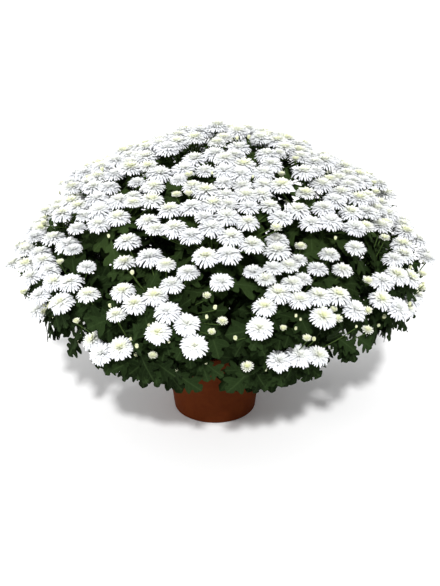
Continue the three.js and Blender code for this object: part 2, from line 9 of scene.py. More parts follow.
# %% Load the frame
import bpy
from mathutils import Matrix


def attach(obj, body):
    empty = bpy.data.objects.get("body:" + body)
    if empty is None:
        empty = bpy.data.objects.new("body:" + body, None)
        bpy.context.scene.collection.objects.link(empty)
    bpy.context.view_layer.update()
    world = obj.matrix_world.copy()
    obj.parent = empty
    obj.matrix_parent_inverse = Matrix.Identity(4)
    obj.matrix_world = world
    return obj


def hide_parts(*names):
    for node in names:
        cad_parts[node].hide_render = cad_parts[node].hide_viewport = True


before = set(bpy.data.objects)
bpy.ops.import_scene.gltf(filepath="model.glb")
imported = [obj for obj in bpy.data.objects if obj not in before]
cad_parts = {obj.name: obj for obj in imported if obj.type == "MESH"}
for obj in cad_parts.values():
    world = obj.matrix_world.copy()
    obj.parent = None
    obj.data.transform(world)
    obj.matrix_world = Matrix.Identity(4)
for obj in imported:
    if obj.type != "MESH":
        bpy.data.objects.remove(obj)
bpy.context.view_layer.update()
print("pieces in the plain model:", len(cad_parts))

# %% Libraries and units
import math
from functools import partialmethod
from types import SimpleNamespace as Group

import bpy
import numpy as np
from mathutils import Vector

MM = 0.001
TURN = 2 * math.pi

# %% [markdown]
# ## The camera
#
# The camera comes first, so that every later step can be looked at from the same place.
# It stands in front of the plant and looks a little down on it. A camera turns most simply with
# to_track_quat, which turns its own -Z axis towards a point and keeps its Y axis up.

# %% Camera
CAMERA_DISTANCE = 1900
CAMERA_ELEVATION = 23.6
CAMERA_TARGET = (11.3, 0, 267.6)
LENS = 54.8
SENSOR = 36


def add_object(name, data):
    thing = bpy.data.objects.new(name, data)
    bpy.context.collection.objects.link(thing)
    return thing


def aim(thing, direction):
    """Turns a camera or a lamp so that it looks in a direction."""
    thing.rotation_mode = "QUATERNION"
    thing.rotation_quaternion = direction.to_track_quat("-Z", "Y")


camera_data = bpy.data.cameras.new("camera")
camera_data.lens, camera_data.sensor_width = LENS, SENSOR
camera = add_object("camera", camera_data)
elevation = math.radians(CAMERA_ELEVATION)
away = Vector((0, -math.cos(elevation), math.sin(elevation)))
camera.location = (Vector(CAMERA_TARGET) + away * CAMERA_DISTANCE) * MM
aim(camera, -away)
bpy.context.scene.camera = camera
print("camera at", [round(x, 3) for x in camera.location])

# %% [markdown]
# ## Chance that repeats
#
# A plant is irregular, but a model has to come out the same each time. So every random number
# comes from a small formula that starts from a seed. Each spray has a seed of its own, so a change to
# one spray leaves the others as they are.

# %% Seeded numbers
SEED = 1000


def random_from(seed):
    """A run of repeatable numbers from 0 up to 1."""
    state = (seed * 7919 + 12345) % 2**32

    def draw():
        nonlocal state
        state = (state * 1664525 + 1013904223) % 2**32
        return state / 2**32

    for _ in range(5):  # nearby seeds start out alike
        draw()
    return draw


# %% [markdown]
# ## Flow lines
#
# The stems of a bush all start close together and fan out, and the low ones sag under their own
# weight. One formula holds both: straight rays from a point deep in the pot, which bend down past the
# rim. Each spray has its own ray, and the space nearest to it. A flat map of these rays makes
# it simple to test whose space a point is in, because on the map the borders are straight lines.

# %% Flow lines
ROOT_HEIGHT = 100
SAG = Group(start=125, depth=102, length=120)
MAP = Group(per_degree=10.4, bulge=50, extra=15)
UP = np.array([0.0, 0.0, 1.0])


def unit(vectors):
    """Vectors scaled to length 1."""
    vectors = np.asarray(vectors, dtype=float)
    return vectors / np.linalg.norm(vectors, axis=-1, keepdims=True)


def polar_point(radius, azimuth, height):
    return np.array([radius * math.cos(azimuth), radius * math.sin(azimuth), height])


def sag(radius):
    past = np.maximum(0, radius - SAG.start)
    return SAG.depth * (1 - np.exp(-past / SAG.length))


def flow_point(flow, distance):
    """The point at a distance from the root point along a flow line."""
    radius = distance * math.sin(flow.angle)
    return polar_point(radius, flow.azimuth, ROOT_HEIGHT + distance * math.cos(flow.angle) - sag(radius))


def flow_of(points):
    """The flow line through each point, its place on the map, and millimetres per unit of the map."""
    x, y, z = np.moveaxis(np.asarray(points, dtype=float), -1, 0)
    radius = np.hypot(x, y)
    rise = z + sag(radius) - ROOT_HEIGHT
    angle = np.arctan2(radius, rise)
    degrees = np.degrees(angle)
    reach = MAP.per_degree * degrees + MAP.extra * np.maximum(0, degrees - MAP.bulge)
    distance = np.hypot(radius, rise)
    per_degree = MAP.per_degree + np.where(degrees > MAP.bulge, MAP.extra, 0)
    across = np.where(radius > 1, radius / np.maximum(reach, 1e-9), 1)
    spread = reach / np.maximum(radius, 1e-9)
    return Group(
        angle=angle,
        distance=distance,
        azimuth=np.arctan2(y, x),
        place=np.stack([spread * x, spread * y], -1),
        scale=np.minimum(across, np.radians(distance) / per_degree),
    )


# %% [markdown]
# ## The crown
#
# The blooms of a well-grown pot chrysanthemum lie on one rounded surface, the crown. Here it is
# between a ball and a cone above its widest part, and again below. That shape is a superellipse turned
# about an axis: an ellipse whose squares are a smaller power, the fullness. Two questions about it come
# up again and again: how far outside it a point is, and which way is outward there.

# %% Crown
CROWN = Group(radius=428, centre=368, up=240, down=300, fullness=1.45, aside=15)
UNDERSIDE = Group(height=156, level=250, slope=0.8)


def crown_point(azimuth, polar, lift):
    rise, out = math.cos(polar), math.sin(polar)
    radius = CROWN.radius * lift * out ** (2 / CROWN.fullness)
    tall = CROWN.up if rise > 0 else -CROWN.down
    above = tall * lift * abs(rise) ** (2 / CROWN.fullness)
    point = polar_point(radius, azimuth, CROWN.centre + above)
    point[0] += CROWN.aside
    return point


def crown_at(points, lift):
    """How far points lie outside the crown, and the outward direction at each."""
    x, y, z = np.moveaxis(np.asarray(points, dtype=float), -1, 0)
    x = x - CROWN.aside
    full = CROWN.fullness
    tall = np.where(z > CROWN.centre, CROWN.up, -CROWN.down)
    radius = np.maximum(np.hypot(x, y), 1e-9)
    out, rise = radius / CROWN.radius, (z - CROWN.centre) / tall
    share = (out**full + rise**full) ** (1 / full)
    out_slope = (out / share) ** (full - 1) / CROWN.radius
    rise_slope = (rise / share) ** (full - 1) / tall
    normal = np.stack([out_slope * x / radius, out_slope * y / radius, rise_slope], -1)
    steepness = np.linalg.norm(normal, axis=-1)
    return (share - lift) / steepness, normal / steepness[..., None]


def above_underside(points):
    """How far points are above the bush's underside, which rises outwards from the pot."""
    points = np.asarray(points, dtype=float)
    past = np.maximum(0, np.hypot(points[..., 0], points[..., 1]) - UNDERSIDE.level)
    return points[..., 2] - UNDERSIDE.height - UNDERSIDE.slope * past


# %% [markdown]
# ## Where the sprays are
#
# The sprays stand in four rings. A ring that is exactly even looks like a machine part, so
# each spray strays a little, round the ring, up or down, and in or out.

# %% Sprays
RINGS = [
    Group(sprays=3, polar=21, turn=35, blooms=12, leaves=4, hanging=0),
    Group(sprays=7, polar=45.5, turn=10, blooms=11, leaves=4, hanging=0),
    Group(sprays=10, polar=71.5, turn=0, blooms=8, leaves=5, hanging=0),
    Group(sprays=8, polar=107, turn=18, blooms=3, leaves=9, hanging=6),
]
STRAY = Group(azimuth=0.3, polar=5, lift=0.045)
SPRAY_GAP = 2.2
STEM = Group(buried=12, root_radius=3.3, fork_radius=2.5, fork_depth=105, socket=36)


def lay_out_sprays():
    sprays = []
    for ring in RINGS:
        for i in range(ring.sprays):
            draw = random_from(SEED + len(sprays))
            place = i + STRAY.azimuth * (draw() - 0.5)
            azimuth = math.radians(ring.turn + 360 * place / ring.sprays)
            polar = math.radians(ring.polar + STRAY.polar * (draw() - 0.5))
            lift = 1 + STRAY.lift * (2 * draw() - 1)
            heart = crown_point(azimuth, polar, lift)
            flow = flow_of(heart)
            fork = flow_point(flow, flow.distance - STEM.fork_depth)
            sprays.append(Group(
                name=f"spray_{len(sprays) + 1:02d}", ring=ring, draw=draw, lift=lift,
                heart=heart, flow=flow, fork=fork, blooms=[], fillers=[], leaves=[],
            ))
    return sprays


SPRAYS = lay_out_sprays()
SPRAY_PLACES = np.array([spray.flow.place for spray in SPRAYS])
print("sprays:", len(SPRAYS))


# %% Each spray's own space
def in_own_space(points, spray, gap):
    """Whether points keep a distance from the space of every other spray."""
    flow = flow_of(points)
    own = spray.flow.place
    others = SPRAY_PLACES[[other is not spray for other in SPRAYS]]
    to_own = ((flow.place - own) ** 2).sum(-1)
    to_others = ((flow.place[..., None, :] - others) ** 2).sum(-1)
    spacing = np.linalg.norm(others - own, axis=-1)
    to_border = (to_others - to_own[..., None]) / (2 * spacing)
    return (to_border * flow.scale[..., None] > gap).all(-1)


# %% [markdown]
# ## Where the blooms are
#
# A bunch grows outwards from its heart: each new bloom touches an earlier one. The rule draws a
# place, a size and a tilt, and keeps the bloom only if it has room. It is the same rule, with the
# same seeds, that placed the plain blooms, so the detailed blooms land exactly on them.

# %% One bloom's place and axes
BLOOM = Group(
    radius=23, spread=0.08, petals=5, notch=0.8, inner_tier=0.58, inner_height=0.36,
    cup_depth=0.42, rim=-0.03, reach=0.82, apart=1, sunk=0.07, step=6,
    off_crown=22, rise=8, over_underside=12, wide=1.03, tall=0.42, slack=0.01, tries=500,
)
FACING = Group(outward=0.5, up=0.32, along_stalk=0.3, least=0.15, stray=0.16)


def make_bloom(spray, centre, radius, towards, draw):
    """A bloom's centre, radius and axes. Its front is turned towards a point."""
    outward = crown_at(centre, spray.lift)[1]
    outward[2] = max(outward[2], FACING.least)
    along = unit(centre - spray.fork)
    normal = FACING.outward * unit(outward) + FACING.up * UP + FACING.along_stalk * along
    normal[0] += FACING.stray * (draw() - 0.5)
    normal[1] += FACING.stray * (draw() - 0.5)
    normal = unit(normal)
    front = towards - centre
    front = unit(front - normal * (front @ normal))
    side = np.cross(normal, front)
    base = centre - normal * BLOOM.cup_depth * radius
    return Group(centre=centre, radius=radius, normal=normal, front=front, side=side, base=base)


# %% The room that a bloom takes
CLEAR = Group(stalk=2.5, stalk_from=0.3, stalk_step=0.1, over_pot=10, round_pot=9)
STALK_SHARES = CLEAR.stalk_from + CLEAR.stalk_step * np.arange(8)


def clear_of_bloom(points, bloom, margin):
    """Whether points are clear of a bloom by a margin, taking the bloom as a flattened ball."""
    offset = points - bloom.centre
    height = offset @ bloom.normal
    across_squared = np.maximum(0, (offset ** 2).sum(-1) - height * height)
    wide = bloom.radius * BLOOM.wide + margin
    tall = bloom.radius * BLOOM.tall + margin
    return across_squared / wide**2 + ((height - BLOOM.rim * bloom.radius) / tall) ** 2 > 1


def on_stalk(spray, bloom, share):
    """The point at a share of the way from a spray's fork to a bloom, or one for each share."""
    return spray.fork + (bloom.base - spray.fork) * share


def stalk_clear_of(spray, bloom, other):
    return clear_of_bloom(on_stalk(spray, bloom, STALK_SHARES[:, None]), other, CLEAR.stalk).all()


def joins(bloom, parent):
    """Whether a bloom's foremost petal tip is sunk well into the bloom that it joins."""
    rim = BLOOM.rim * bloom.radius
    tip = bloom.centre + bloom.front * bloom.radius + bloom.normal * rim - parent.centre
    tip = tip / parent.radius
    height, forward, aside = tip @ parent.normal, tip @ parent.front, tip @ parent.side
    across = math.hypot(forward, aside)
    petal = math.atan2(aside, forward) * BLOOM.petals / TURN
    to_notch = 2 * abs(petal - math.floor(petal + 0.5))
    flat = math.cos(math.pi / BLOOM.petals)
    edge = 1 + to_notch * (BLOOM.notch - 1)
    inner = BLOOM.inner_tier * (flat + (1 - flat) * to_notch)
    outer = max(0, across - inner) / (edge - inner)
    below = -BLOOM.cup_depth + (BLOOM.cup_depth + BLOOM.rim) * across / edge
    above = BLOOM.inner_height + (BLOOM.rim - BLOOM.inner_height) * outer
    return below + BLOOM.sunk < height < above - BLOOM.sunk


# %% Grow the bunches
def around(turn, first, second):
    """A direction, or one for each turn, in the plane of two directions."""
    return np.cos(turn) * first + np.sin(turn) * second


def bloom_edge(bloom, count=8):
    turns = TURN * np.arange(count)[:, None] / count
    return bloom.centre + bloom.radius * around(turns, bloom.front, bloom.side)


def bloom_fits(spray, bloom, parent):
    if above_underside(bloom.centre) < BLOOM.over_underside or not joins(bloom, parent):
        return False
    if abs(crown_at(bloom.centre, spray.lift)[0]) > BLOOM.off_crown:
        return False
    if not in_own_space(bloom_edge(bloom), spray, SPRAY_GAP).all():
        return False
    for other in spray.blooms:
        apart = BLOOM.reach - BLOOM.slack if other is parent else BLOOM.apart
        offset = other.centre - bloom.centre
        if math.sqrt(offset @ offset) < apart * (other.radius + bloom.radius):
            return False
        if not (stalk_clear_of(spray, bloom, other) and stalk_clear_of(spray, other, bloom)):
            return False
    return True


def grow_blooms(spray):
    draw, blooms = spray.draw, spray.blooms

    def size():
        return BLOOM.radius * (1 + BLOOM.spread * (2 * draw() - 1))

    any_side = polar_point(2 * CROWN.radius, TURN * draw(), 0)
    blooms.append(make_bloom(spray, spray.heart, size(), any_side, draw))
    for _ in range(BLOOM.tries):
        if len(blooms) == spray.ring.blooms:
            break
        parent = blooms[math.floor(draw() * len(blooms))]
        turn, radius = TURN * draw(), size()
        reach = BLOOM.reach * (parent.radius + radius)
        centre = parent.centre + reach * around(turn, parent.front, parent.side)
        outside = crown_at(centre, spray.lift)[0] + BLOOM.rise * (draw() - 0.5)
        centre = centre + parent.normal * min(BLOOM.step, max(-BLOOM.step, -outside))
        bloom = make_bloom(spray, centre, radius, parent.centre, draw)
        if bloom_fits(spray, bloom, parent):
            blooms.append(bloom)


for spray in SPRAYS:
    grow_blooms(spray)
print("open blooms:", sum(len(spray.blooms) for spray in SPRAYS))

# %% [markdown]
# ## Where the large leaves are
#
# The plain model has a few leaves on each spray, and a skirt of longer ones round the pot. They are
# placed again by the same rule. A leaf is kept where it is clear of the blooms, of the stalks and of
# the pot.

# %% One leaf's place
LEAF = Group(
    length=66, half_width=23, spread=0.16, thickness=2.8, middle=0.52, curl=0.16, sink=2,
    skirt_length=84, fold=0.1, apart=34, tilt=0.5, blade_start=0.2, blade_end=1.05, blade_side=1.1,
    tries=400,
)
LEAF_OUTLINE = [(0.38, 0.7), (0.48, 0.36), (0.7, 1)]
LEAF_SPINE = np.array([[0.35], [0.6], [0.8]])
LEAF_SITE = Group(start=0.5, over=0.2, outward=0.15, outward_over=0.6)
SKIRT_SITE = Group(from_pot=22, out=0.9, fan=150, fall=0.25, fall_over=0.65)
POT = Group(base_radius=90, mouth_radius=110, height=165, wall=5, floor=5, band_height=18)


def leaf_droop(leaf, reach, across):
    """How far a leaf's blade lies below its straight axis."""
    fold = LEAF.fold * leaf.half_width * np.abs(across)
    return leaf.curl * leaf.length * reach * reach + fold


def leaf_at(leaf, reach, across, height=0):
    """Points of a leaf's blade, from shares of its length and half width."""
    reach, across = np.asarray(reach, dtype=float), np.asarray(across, dtype=float)
    side = np.cross(leaf.face, leaf.along)
    lift = height - leaf_droop(leaf, reach, across)
    return (leaf.root + (leaf.length * reach)[..., None] * leaf.along
            + (leaf.half_width * across)[..., None] * side + lift[..., None] * leaf.face)


def leaf_probes(leaf):
    """Points that stand for the whole blade: its outline, the middles of its edges, and its spine."""
    reach, wide = np.array(LEAF_OUTLINE).T
    outline = leaf_at(leaf, [*reach, 1, *reach[::-1]], [*-wide, 0, *wide[::-1]])
    edges = (outline[1:] + outline[:-1]) / 2
    middle = leaf_at(leaf, [LEAF.middle], [0], LEAF.thickness / 2)
    spine = middle + (leaf.root - middle) * LEAF_SPINE
    return np.concatenate([middle, outline, edges, spine])


# %% Whether a leaf has room
def stalk_points(spray):
    """Points about 3 mm apart along every flower stalk of a spray."""
    points = []
    for bloom in spray.blooms:
        offset = bloom.base - spray.fork
        steps = math.ceil(math.sqrt(offset @ offset) / 3)
        points.append(on_stalk(spray, bloom, (np.arange(steps + 1) / steps)[:, None]))
    return np.concatenate(points)


def crosses_leaf(points, leaf):
    side = np.cross(leaf.face, leaf.along)
    offset = points - leaf.root
    reach = offset @ leaf.along / leaf.length
    across = offset @ side / leaf.half_width
    over_blade = (reach > LEAF.blade_start) & (reach < LEAF.blade_end) & (np.abs(across) < LEAF.blade_side)
    height = offset @ leaf.face + leaf_droop(leaf, reach, across)
    return (over_blade & (np.abs(height) < LEAF.thickness / 2 + CLEAR.stalk)).any()


def near_pot(points):
    radius = np.hypot(points[:, 0], points[:, 1])
    low = points[:, 2] < POT.height + CLEAR.over_pot
    return (low & (radius < POT.mouth_radius + CLEAR.round_pot)).any()


def near_leaf(spray, leaf, apart):
    return any(np.linalg.norm(other.middle - leaf.middle) < apart for other in spray.leaves)


def leaf_fits(spray, leaf, stalks):
    if near_leaf(spray, leaf, LEAF.apart) or crosses_leaf(stalks, leaf):
        return False
    probes = leaf_probes(leaf)
    low = (above_underside(probes) < 0).any()
    if low or near_pot(probes) or not in_own_space(probes, spray, SPRAY_GAP).all():
        return False
    return all(clear_of_bloom(probes, bloom, CLEAR.stalk).all() for bloom in spray.blooms)


# %% Grow the large leaves
def past_pot(flow):
    """How far along a flow line its stem is clear of the pot."""
    return (POT.mouth_radius + SKIRT_SITE.from_pot) / math.sin(flow.angle)


def leaf_site(spray, hangs):
    """Where a leaf grows from and which way: on the stem for the skirt, else on a flower stalk."""
    draw, flow = spray.draw, spray.flow
    if hangs:
        start, end = past_pot(flow), flow.distance - STEM.fork_depth - STEM.socket
        root = flow_point(flow, start + draw() * (end - start))
        towards = flow.azimuth + math.radians(SKIRT_SITE.fan) * (draw() - 0.5)
        fall = SKIRT_SITE.fall + SKIRT_SITE.fall_over * draw()
        return root, unit(polar_point(SKIRT_SITE.out, towards, -fall))
    bloom = spray.blooms[math.floor(draw() * len(spray.blooms))]
    root = on_stalk(spray, bloom, LEAF_SITE.start + LEAF_SITE.over * draw())
    outward = crown_at(root, spray.lift)[1]
    turn = TURN * draw()
    stalk = unit(bloom.base - spray.fork)
    aside = unit(np.cross(stalk, UP))
    outwards = LEAF_SITE.outward + LEAF_SITE.outward_over * draw()
    return root, unit(around(turn, aside, np.cross(aside, stalk)) + outward * outwards)


def make_leaf(spray, root, along, length, half_width, curl, tilt=LEAF.tilt):
    face = UP + crown_at(root, spray.lift)[1] * tilt
    face = unit(face - along * (face @ along))
    root = root - along * LEAF.sink
    middle = root + along * LEAF.middle * length
    return Group(
        root=root, along=along, face=face, length=length, half_width=half_width, curl=curl, middle=middle)


def grow_leaves(spray):
    draw = spray.draw
    stalks = stalk_points(spray)
    for _ in range(LEAF.tries):
        if len(spray.leaves) == spray.ring.leaves:
            break
        hangs = len(spray.leaves) < spray.ring.hanging
        root, along = leaf_site(spray, hangs)
        size = 1 + LEAF.spread * (2 * draw() - 1)
        length = (LEAF.skirt_length if hangs else LEAF.length) * size
        curl = LEAF.curl * (0.5 + draw())
        leaf = make_leaf(spray, root, along, length, LEAF.half_width * size, curl)
        if leaf_fits(spray, leaf, stalks):
            spray.leaves.append(leaf)


for spray in SPRAYS:
    grow_leaves(spray)
print("large leaves:", sum(len(spray.leaves) for spray in SPRAYS))

# %% [markdown]
# ## More blooms, half-open blooms and buds
#
# A real bush flowers in the gaps too. Places are tried all over the crown, and each is kept where
# it is clear of the blooms already there. Large ones are tried first, then half-open ones, then
# buds, as a packer fills a box with large things first. They keep off the borders between
# sprays and off the lower side of each low spray, so the bunches stay apart with dark leaves between
# them, and there are fewer of them towards the bottom, where the leaves take over.

# %% Fill the gaps of the crown
# chance is that of keeping a place, low down and high up, and border how far it keeps from other sprays.
FILLERS = [
    Group(name="full", tries=3200, radius=(18, 26), open=(0.86, 1.0), apart=0.70, chance=(0.0, 1.0),
          border=2, deeper=0),
    Group(name="half-open", tries=2200, radius=(10, 15), open=(0.45, 0.8), apart=0.78, chance=(0.26, 0.26),
          border=1, deeper=80),
    Group(name="buds", tries=1100, radius=(4.5, 8), open=(0.0, 0.25), apart=0.95, chance=(0.35, 0.35),
          border=2, deeper=120),
]
LOWEST_POLAR = 122
# The full ones thin out over this many degrees and end this far from the top. All of them lie a little
# above or below the crown.
THINNING = Group(end=106, over=50)
FILLER_LIFT = Group(stray=0.05, middle=0.55)
# How far down from the middle of its spray a filling bloom may lie, for each ring of sprays. The small
# ones may lie deeper by the last number of their kind.
TIER_DEPTHS = [300, 140, -30, -60]
# Places where a bunch has failed or been shaded out, and leaves show: middle and radius.
LEAFY_GAPS = [
    ((-58, -88, 590), 57), ((-165, -128, 553), 34), ((9, -356, 467), 24),
    ((277, -238, 444), 46), ((-214, -258, 474), 30), ((-212, -348, 370), 42),
    ((40, 190, 560), 42), ((-250, 210, 450), 44),
]
# Places where the bunches have grown into each other, and how much closer the blooms stand there.
CROWDED_PLACES = [((30, -205, 550), 105), ((110, -345, 440), 60), ((-30, 230, 545), 90)]
CLOSER = 0.84


def between(limits, share):
    return limits[0] + share * (limits[1] - limits[0])


def filler_place(draw):
    """A place on the crown, spread evenly over its surface."""
    cosine = 1 - draw() * (1 - math.cos(math.radians(LOWEST_POLAR)))
    return TURN * draw(), math.acos(cosine)


def nearest_spray(point):
    distance = ((SPRAY_PLACES - flow_of(point).place) ** 2).sum(-1)
    return SPRAYS[int(distance.argmin())]


def in_tier(spray, centre, deeper):
    """Whether a place is not too far down the crown from the middle of its spray."""
    outward = crown_at(spray.heart, 1)[1]
    downhill = unit(outward * outward[2] - UP)
    return (centre - spray.heart) @ downhill < TIER_DEPTHS[RINGS.index(spray.ring)] + deeper


def in_any(point, places, margin=0):
    return any(math.dist(point, middle) < radius + margin for middle, radius in places)


def fill_crown():
    draw = random_from(SEED + 500)
    kept = [bloom for spray in SPRAYS for bloom in spray.blooms]
    for kind in FILLERS:
        before = len(kept)
        for _ in range(kind.tries):
            azimuth, polar = filler_place(draw)
            share = draw()
            radius = between(kind.radius, share)
            spray = nearest_spray(crown_point(azimuth, polar, 1))
            lift = spray.lift + FILLER_LIFT.stray * (draw() - FILLER_LIFT.middle)
            centre = crown_point(azimuth, polar, lift)
            high = min(1, max(0, (math.radians(THINNING.end) - polar) / math.radians(THINNING.over)))
            bloom = make_bloom(spray, centre, radius, centre + polar_point(1, TURN * draw(), 0.1), draw)
            bloom.open = between(kind.open, share)
            apart = kind.apart * (CLOSER if in_any(centre, CROWDED_PLACES) else 1)
            gaps = np.linalg.norm(np.array([other.centre for other in kept]) - centre, axis=1)
            crowded = (gaps < apart * (np.array([other.radius for other in kept]) + radius)).any()
            if draw() > between(kind.chance, high) or crowded or in_any(centre, LEAFY_GAPS):
                continue
            if above_underside(centre) < BLOOM.over_underside or not in_tier(spray, centre, kind.deeper):
                continue
            if in_own_space(centre, spray, kind.border):
                kept.append(bloom)
                spray.fillers.append(bloom)
        print(kind.name, len(kept) - before)


fill_crown()

# %% [markdown]
# ## Flowers that look up
#
# A flower grows towards the light, so even a low one on the side of the bush looks up more than it
# looks out. Seen from the front it is then a flat oval, not a round disc. Each flower turns about
# its own middle, by a part of its lean and no more than a set angle, so it keeps its place in the bunch.

# %% Turn the flowers up
LOOK_UP = Group(share=0.7, most=24, most_filler=36)


def look_up(bloom, most):
    """Turns a bloom towards the sky by a share of its lean, and no more than a number of degrees."""
    turn = min(math.radians(most), LOOK_UP.share * math.acos(min(1, bloom.normal[2])))
    axis = unit(np.cross(bloom.normal, UP))
    for name, old in [(name, getattr(bloom, name)) for name in ("normal", "front", "side")]:
        along_axis = axis * (axis @ old) * (1 - math.cos(turn))
        setattr(bloom, name, old * math.cos(turn) + np.cross(axis, old) * math.sin(turn) + along_axis)
    bloom.base = bloom.centre - bloom.normal * BLOOM.cup_depth * bloom.radius


for spray in SPRAYS:
    for bloom in spray.blooms:
        look_up(bloom, LOOK_UP.most)
    for bloom in spray.fillers:
        look_up(bloom, LOOK_UP.most_filler)
leans = [math.degrees(math.acos(bloom.normal[2])) for spray in SPRAYS for bloom in spray.blooms]
print("mean lean of the blooms:", round(float(np.mean(leans))), "degrees")

# %% [markdown]
# ## The rest of the leaves
#
# From outside, a bush shows hardly any stem, because leaves fill the space under the blooms. There
# are five kinds here. Inner leaves on the stems close the view through the bush. Most leaves lie just
# under the blooms. Outer and skirt leaves come out in the lower half and make the dark fringe there, and
# collar leaves hang over the rim of the pot. A leaf is kept if it stays clear of the blooms and the pot,
# and isn't in front of a bloom's middle, because leaves and flowers both grow to where the light is.

# %% Kinds of small leaf
# counts is how many a spray gets, in each ring of sprays. stem and root are where it grows, in shares of
# the stem past the pot and of a flower stalk. proud is how far it may stand out of the crown, high up and
# low down on the bush, and lowest how far it may hang below the bush's underside. onto_bloom is how far
# it may lie over a bloom's edge.
def leaf_kind(**own):
    usual = {"width": 0.4, "tilt": 1.6, "on_stem": 1.0, "stem": (0.24, 1), "root": (0, 0)}
    return Group(**{**usual, "proud": (-20, 30), "lowest": -40, "onto_bloom": 1, **own})


INNER = leaf_kind(
    counts=(14, 14, 14, 12), tries=130, length=(64, 92), width=0.42, tilt=2.5, apart=16,
    outward=0.2, hang=0.2, proud=(-60, -30), lowest=-14)
UNDER = leaf_kind(
    counts=(50, 50, 52, 46), tries=420, length=(42, 76), width=0.38, tilt=1.3, apart=11,
    on_stem=0.2, root=(0.25, 0.95), outward=0.0, hang=0.0, proud=(-6, 21), lowest=-14)
OUTER = leaf_kind(
    counts=(0, 2, 24, 26), tries=800, length=(38, 62), apart=13, on_stem=0.0, root=(0.6, 1.0),
    outward=1.0, hang=0.7, proud=(-4, 42), lowest=-20, onto_bloom=2)
SKIRT = leaf_kind(counts=(0, 0, 4, 10), tries=400, length=(48, 74), apart=14, outward=0.5, hang=1.6)
COLLAR = leaf_kind(
    counts=(0, 0, 10, 20), tries=600, length=(46, 80), width=0.42, apart=13, stem=(0, 0.3),
    outward=0.4, hang=1.5)
# How much further leaves may stand out in and round a leafy gap.
GAP_LEAVES = Group(spare=10, round=20)
# The line of sight that keeps blooms in view, and where the lower half of the bush starts.
SIGHT = Group(rise=0.45, depth=70, middle=0.7)
LOWER_HALF = Group(above_centre=40, over=150)
# On a stem, the lowest roots are at most this far up it, and the highest are this share of the fork's
# depth below the heart. Then how far leaves lean along the stalk, forward and back, and their curl.
SMALL_SITE = Group(lowest=0.45, below_heart=0.8, forward=0.9, back=0.1, curl=(0.4, 1.8))
# How far a leaf and a bloom reach, as shares of the leaf's length and of the usual radius.
REACH = Group(leaf=0.6, bloom=1.1)
ALL_BLOOMS = [bloom for spray in SPRAYS for bloom in spray.blooms + spray.fillers]
ALL_CENTRES = np.array([bloom.centre for bloom in ALL_BLOOMS])


def small_leaf_site(spray, kind, draw):
    """A root point on a stalk or on the upper stem, and a direction that fans out from it."""
    flow = spray.flow
    if draw() < kind.on_stem:
        low = min(past_pot(flow), flow.distance * SMALL_SITE.lowest)
        high = flow.distance - STEM.fork_depth * SMALL_SITE.below_heart
        root = flow_point(flow, between((low, high), between(kind.stem, draw())))
        stalk = unit(spray.heart - spray.fork)
    else:
        every = spray.blooms + spray.fillers
        bloom = every[math.floor(draw() * len(every))]
        root = on_stalk(spray, bloom, between(kind.root, draw()))
        stalk = unit(bloom.base - spray.fork)
    turn = TURN * draw()
    aside = unit(np.cross(stalk, UP + 0.01))
    along = around(turn, aside, np.cross(aside, stalk))
    along = along + stalk * (SMALL_SITE.forward * draw() - SMALL_SITE.back)
    outward = crown_at(root, spray.lift)[1]
    return root, unit(along + outward * kind.outward - UP * kind.hang * draw())


def hides_bloom(points, bloom):
    """Whether points are in front of the middle of a bloom, for someone who looks a little down on it."""
    sight = unit(crown_at(bloom.centre, 1)[1] * (1, 1, 0) + UP * SIGHT.rise)
    offset = points - bloom.centre
    depth = offset @ sight
    aside_squared = (offset ** 2).sum(-1) - depth * depth
    in_front = (depth > 0) & (depth < SIGHT.depth)
    return (in_front & (aside_squared < (SIGHT.middle * bloom.radius) ** 2)).any()


def small_leaf_fits(spray, leaf, kind):
    if near_leaf(spray, leaf, kind.apart):
        return False
    probes = leaf_probes(leaf)
    outside, _ = crown_at(probes, spray.lift)
    low = np.clip((CROWN.centre + LOWER_HALF.above_centre - probes[:, 2]) / LOWER_HALF.over, 0, 1)
    spare = GAP_LEAVES.spare if in_any(leaf.middle, LEAFY_GAPS, GAP_LEAVES.round) else 0
    too_proud = (outside > between(kind.proud, low) + spare).any()
    if too_proud or near_pot(probes) or (above_underside(probes) < kind.lowest).any():
        return False
    reach = leaf.length * REACH.leaf + BLOOM.radius * REACH.bloom
    near = np.linalg.norm(ALL_CENTRES - leaf.middle, axis=1) < reach
    near_blooms = [ALL_BLOOMS[i] for i in np.flatnonzero(near)]
    if not all(clear_of_bloom(probes[:-3], bloom, -kind.onto_bloom).all() for bloom in near_blooms):
        return False
    return not any(hides_bloom(probes, bloom) for bloom in near_blooms)


# %% Grow the small leaves
def grow_small_leaves(spray, kind, draw):
    wanted = len(spray.leaves) + kind.counts[RINGS.index(spray.ring)]
    for _ in range(kind.tries):
        if len(spray.leaves) >= wanted:
            break
        root, along = small_leaf_site(spray, kind, draw)
        length = between(kind.length, draw())
        curl = LEAF.curl * between(SMALL_SITE.curl, draw())
        leaf = make_leaf(spray, root, along, length, length * kind.width, curl, kind.tilt)
        if small_leaf_fits(spray, leaf, kind):
            spray.leaves.append(leaf)


for index, spray in enumerate(SPRAYS):
    draw = random_from(SEED + 600 + index)
    before = len(spray.leaves)
    for kind in (INNER, UNDER, OUTER, SKIRT, COLLAR):
        grow_small_leaves(spray, kind, draw)
    print(spray.name, "small leaves:", len(spray.leaves) - before)
print("leaves in all:", sum(len(spray.leaves) for spray in SPRAYS))

# %% [markdown]
# ## Meshes from many small parts
#
# Thousands of petals are quicker to make as one mesh than as thousands of objects. A bundle collects
# the points and faces of small parts and makes one mesh of them at the end. Beside its place, every
# point keeps four numbers, which the materials read later, such as how far along the petal it is.
# Shading is smooth, but breaks where a thin blade's upper side meets its underside.

# %% New pieces
def new_piece(name, points, faces):
    """A piece from points in millimetres."""
    mesh = bpy.data.meshes.new(name)
    mesh.from_pydata((np.asarray(points) * MM).tolist(), [], faces)
    return add_object(name, mesh)


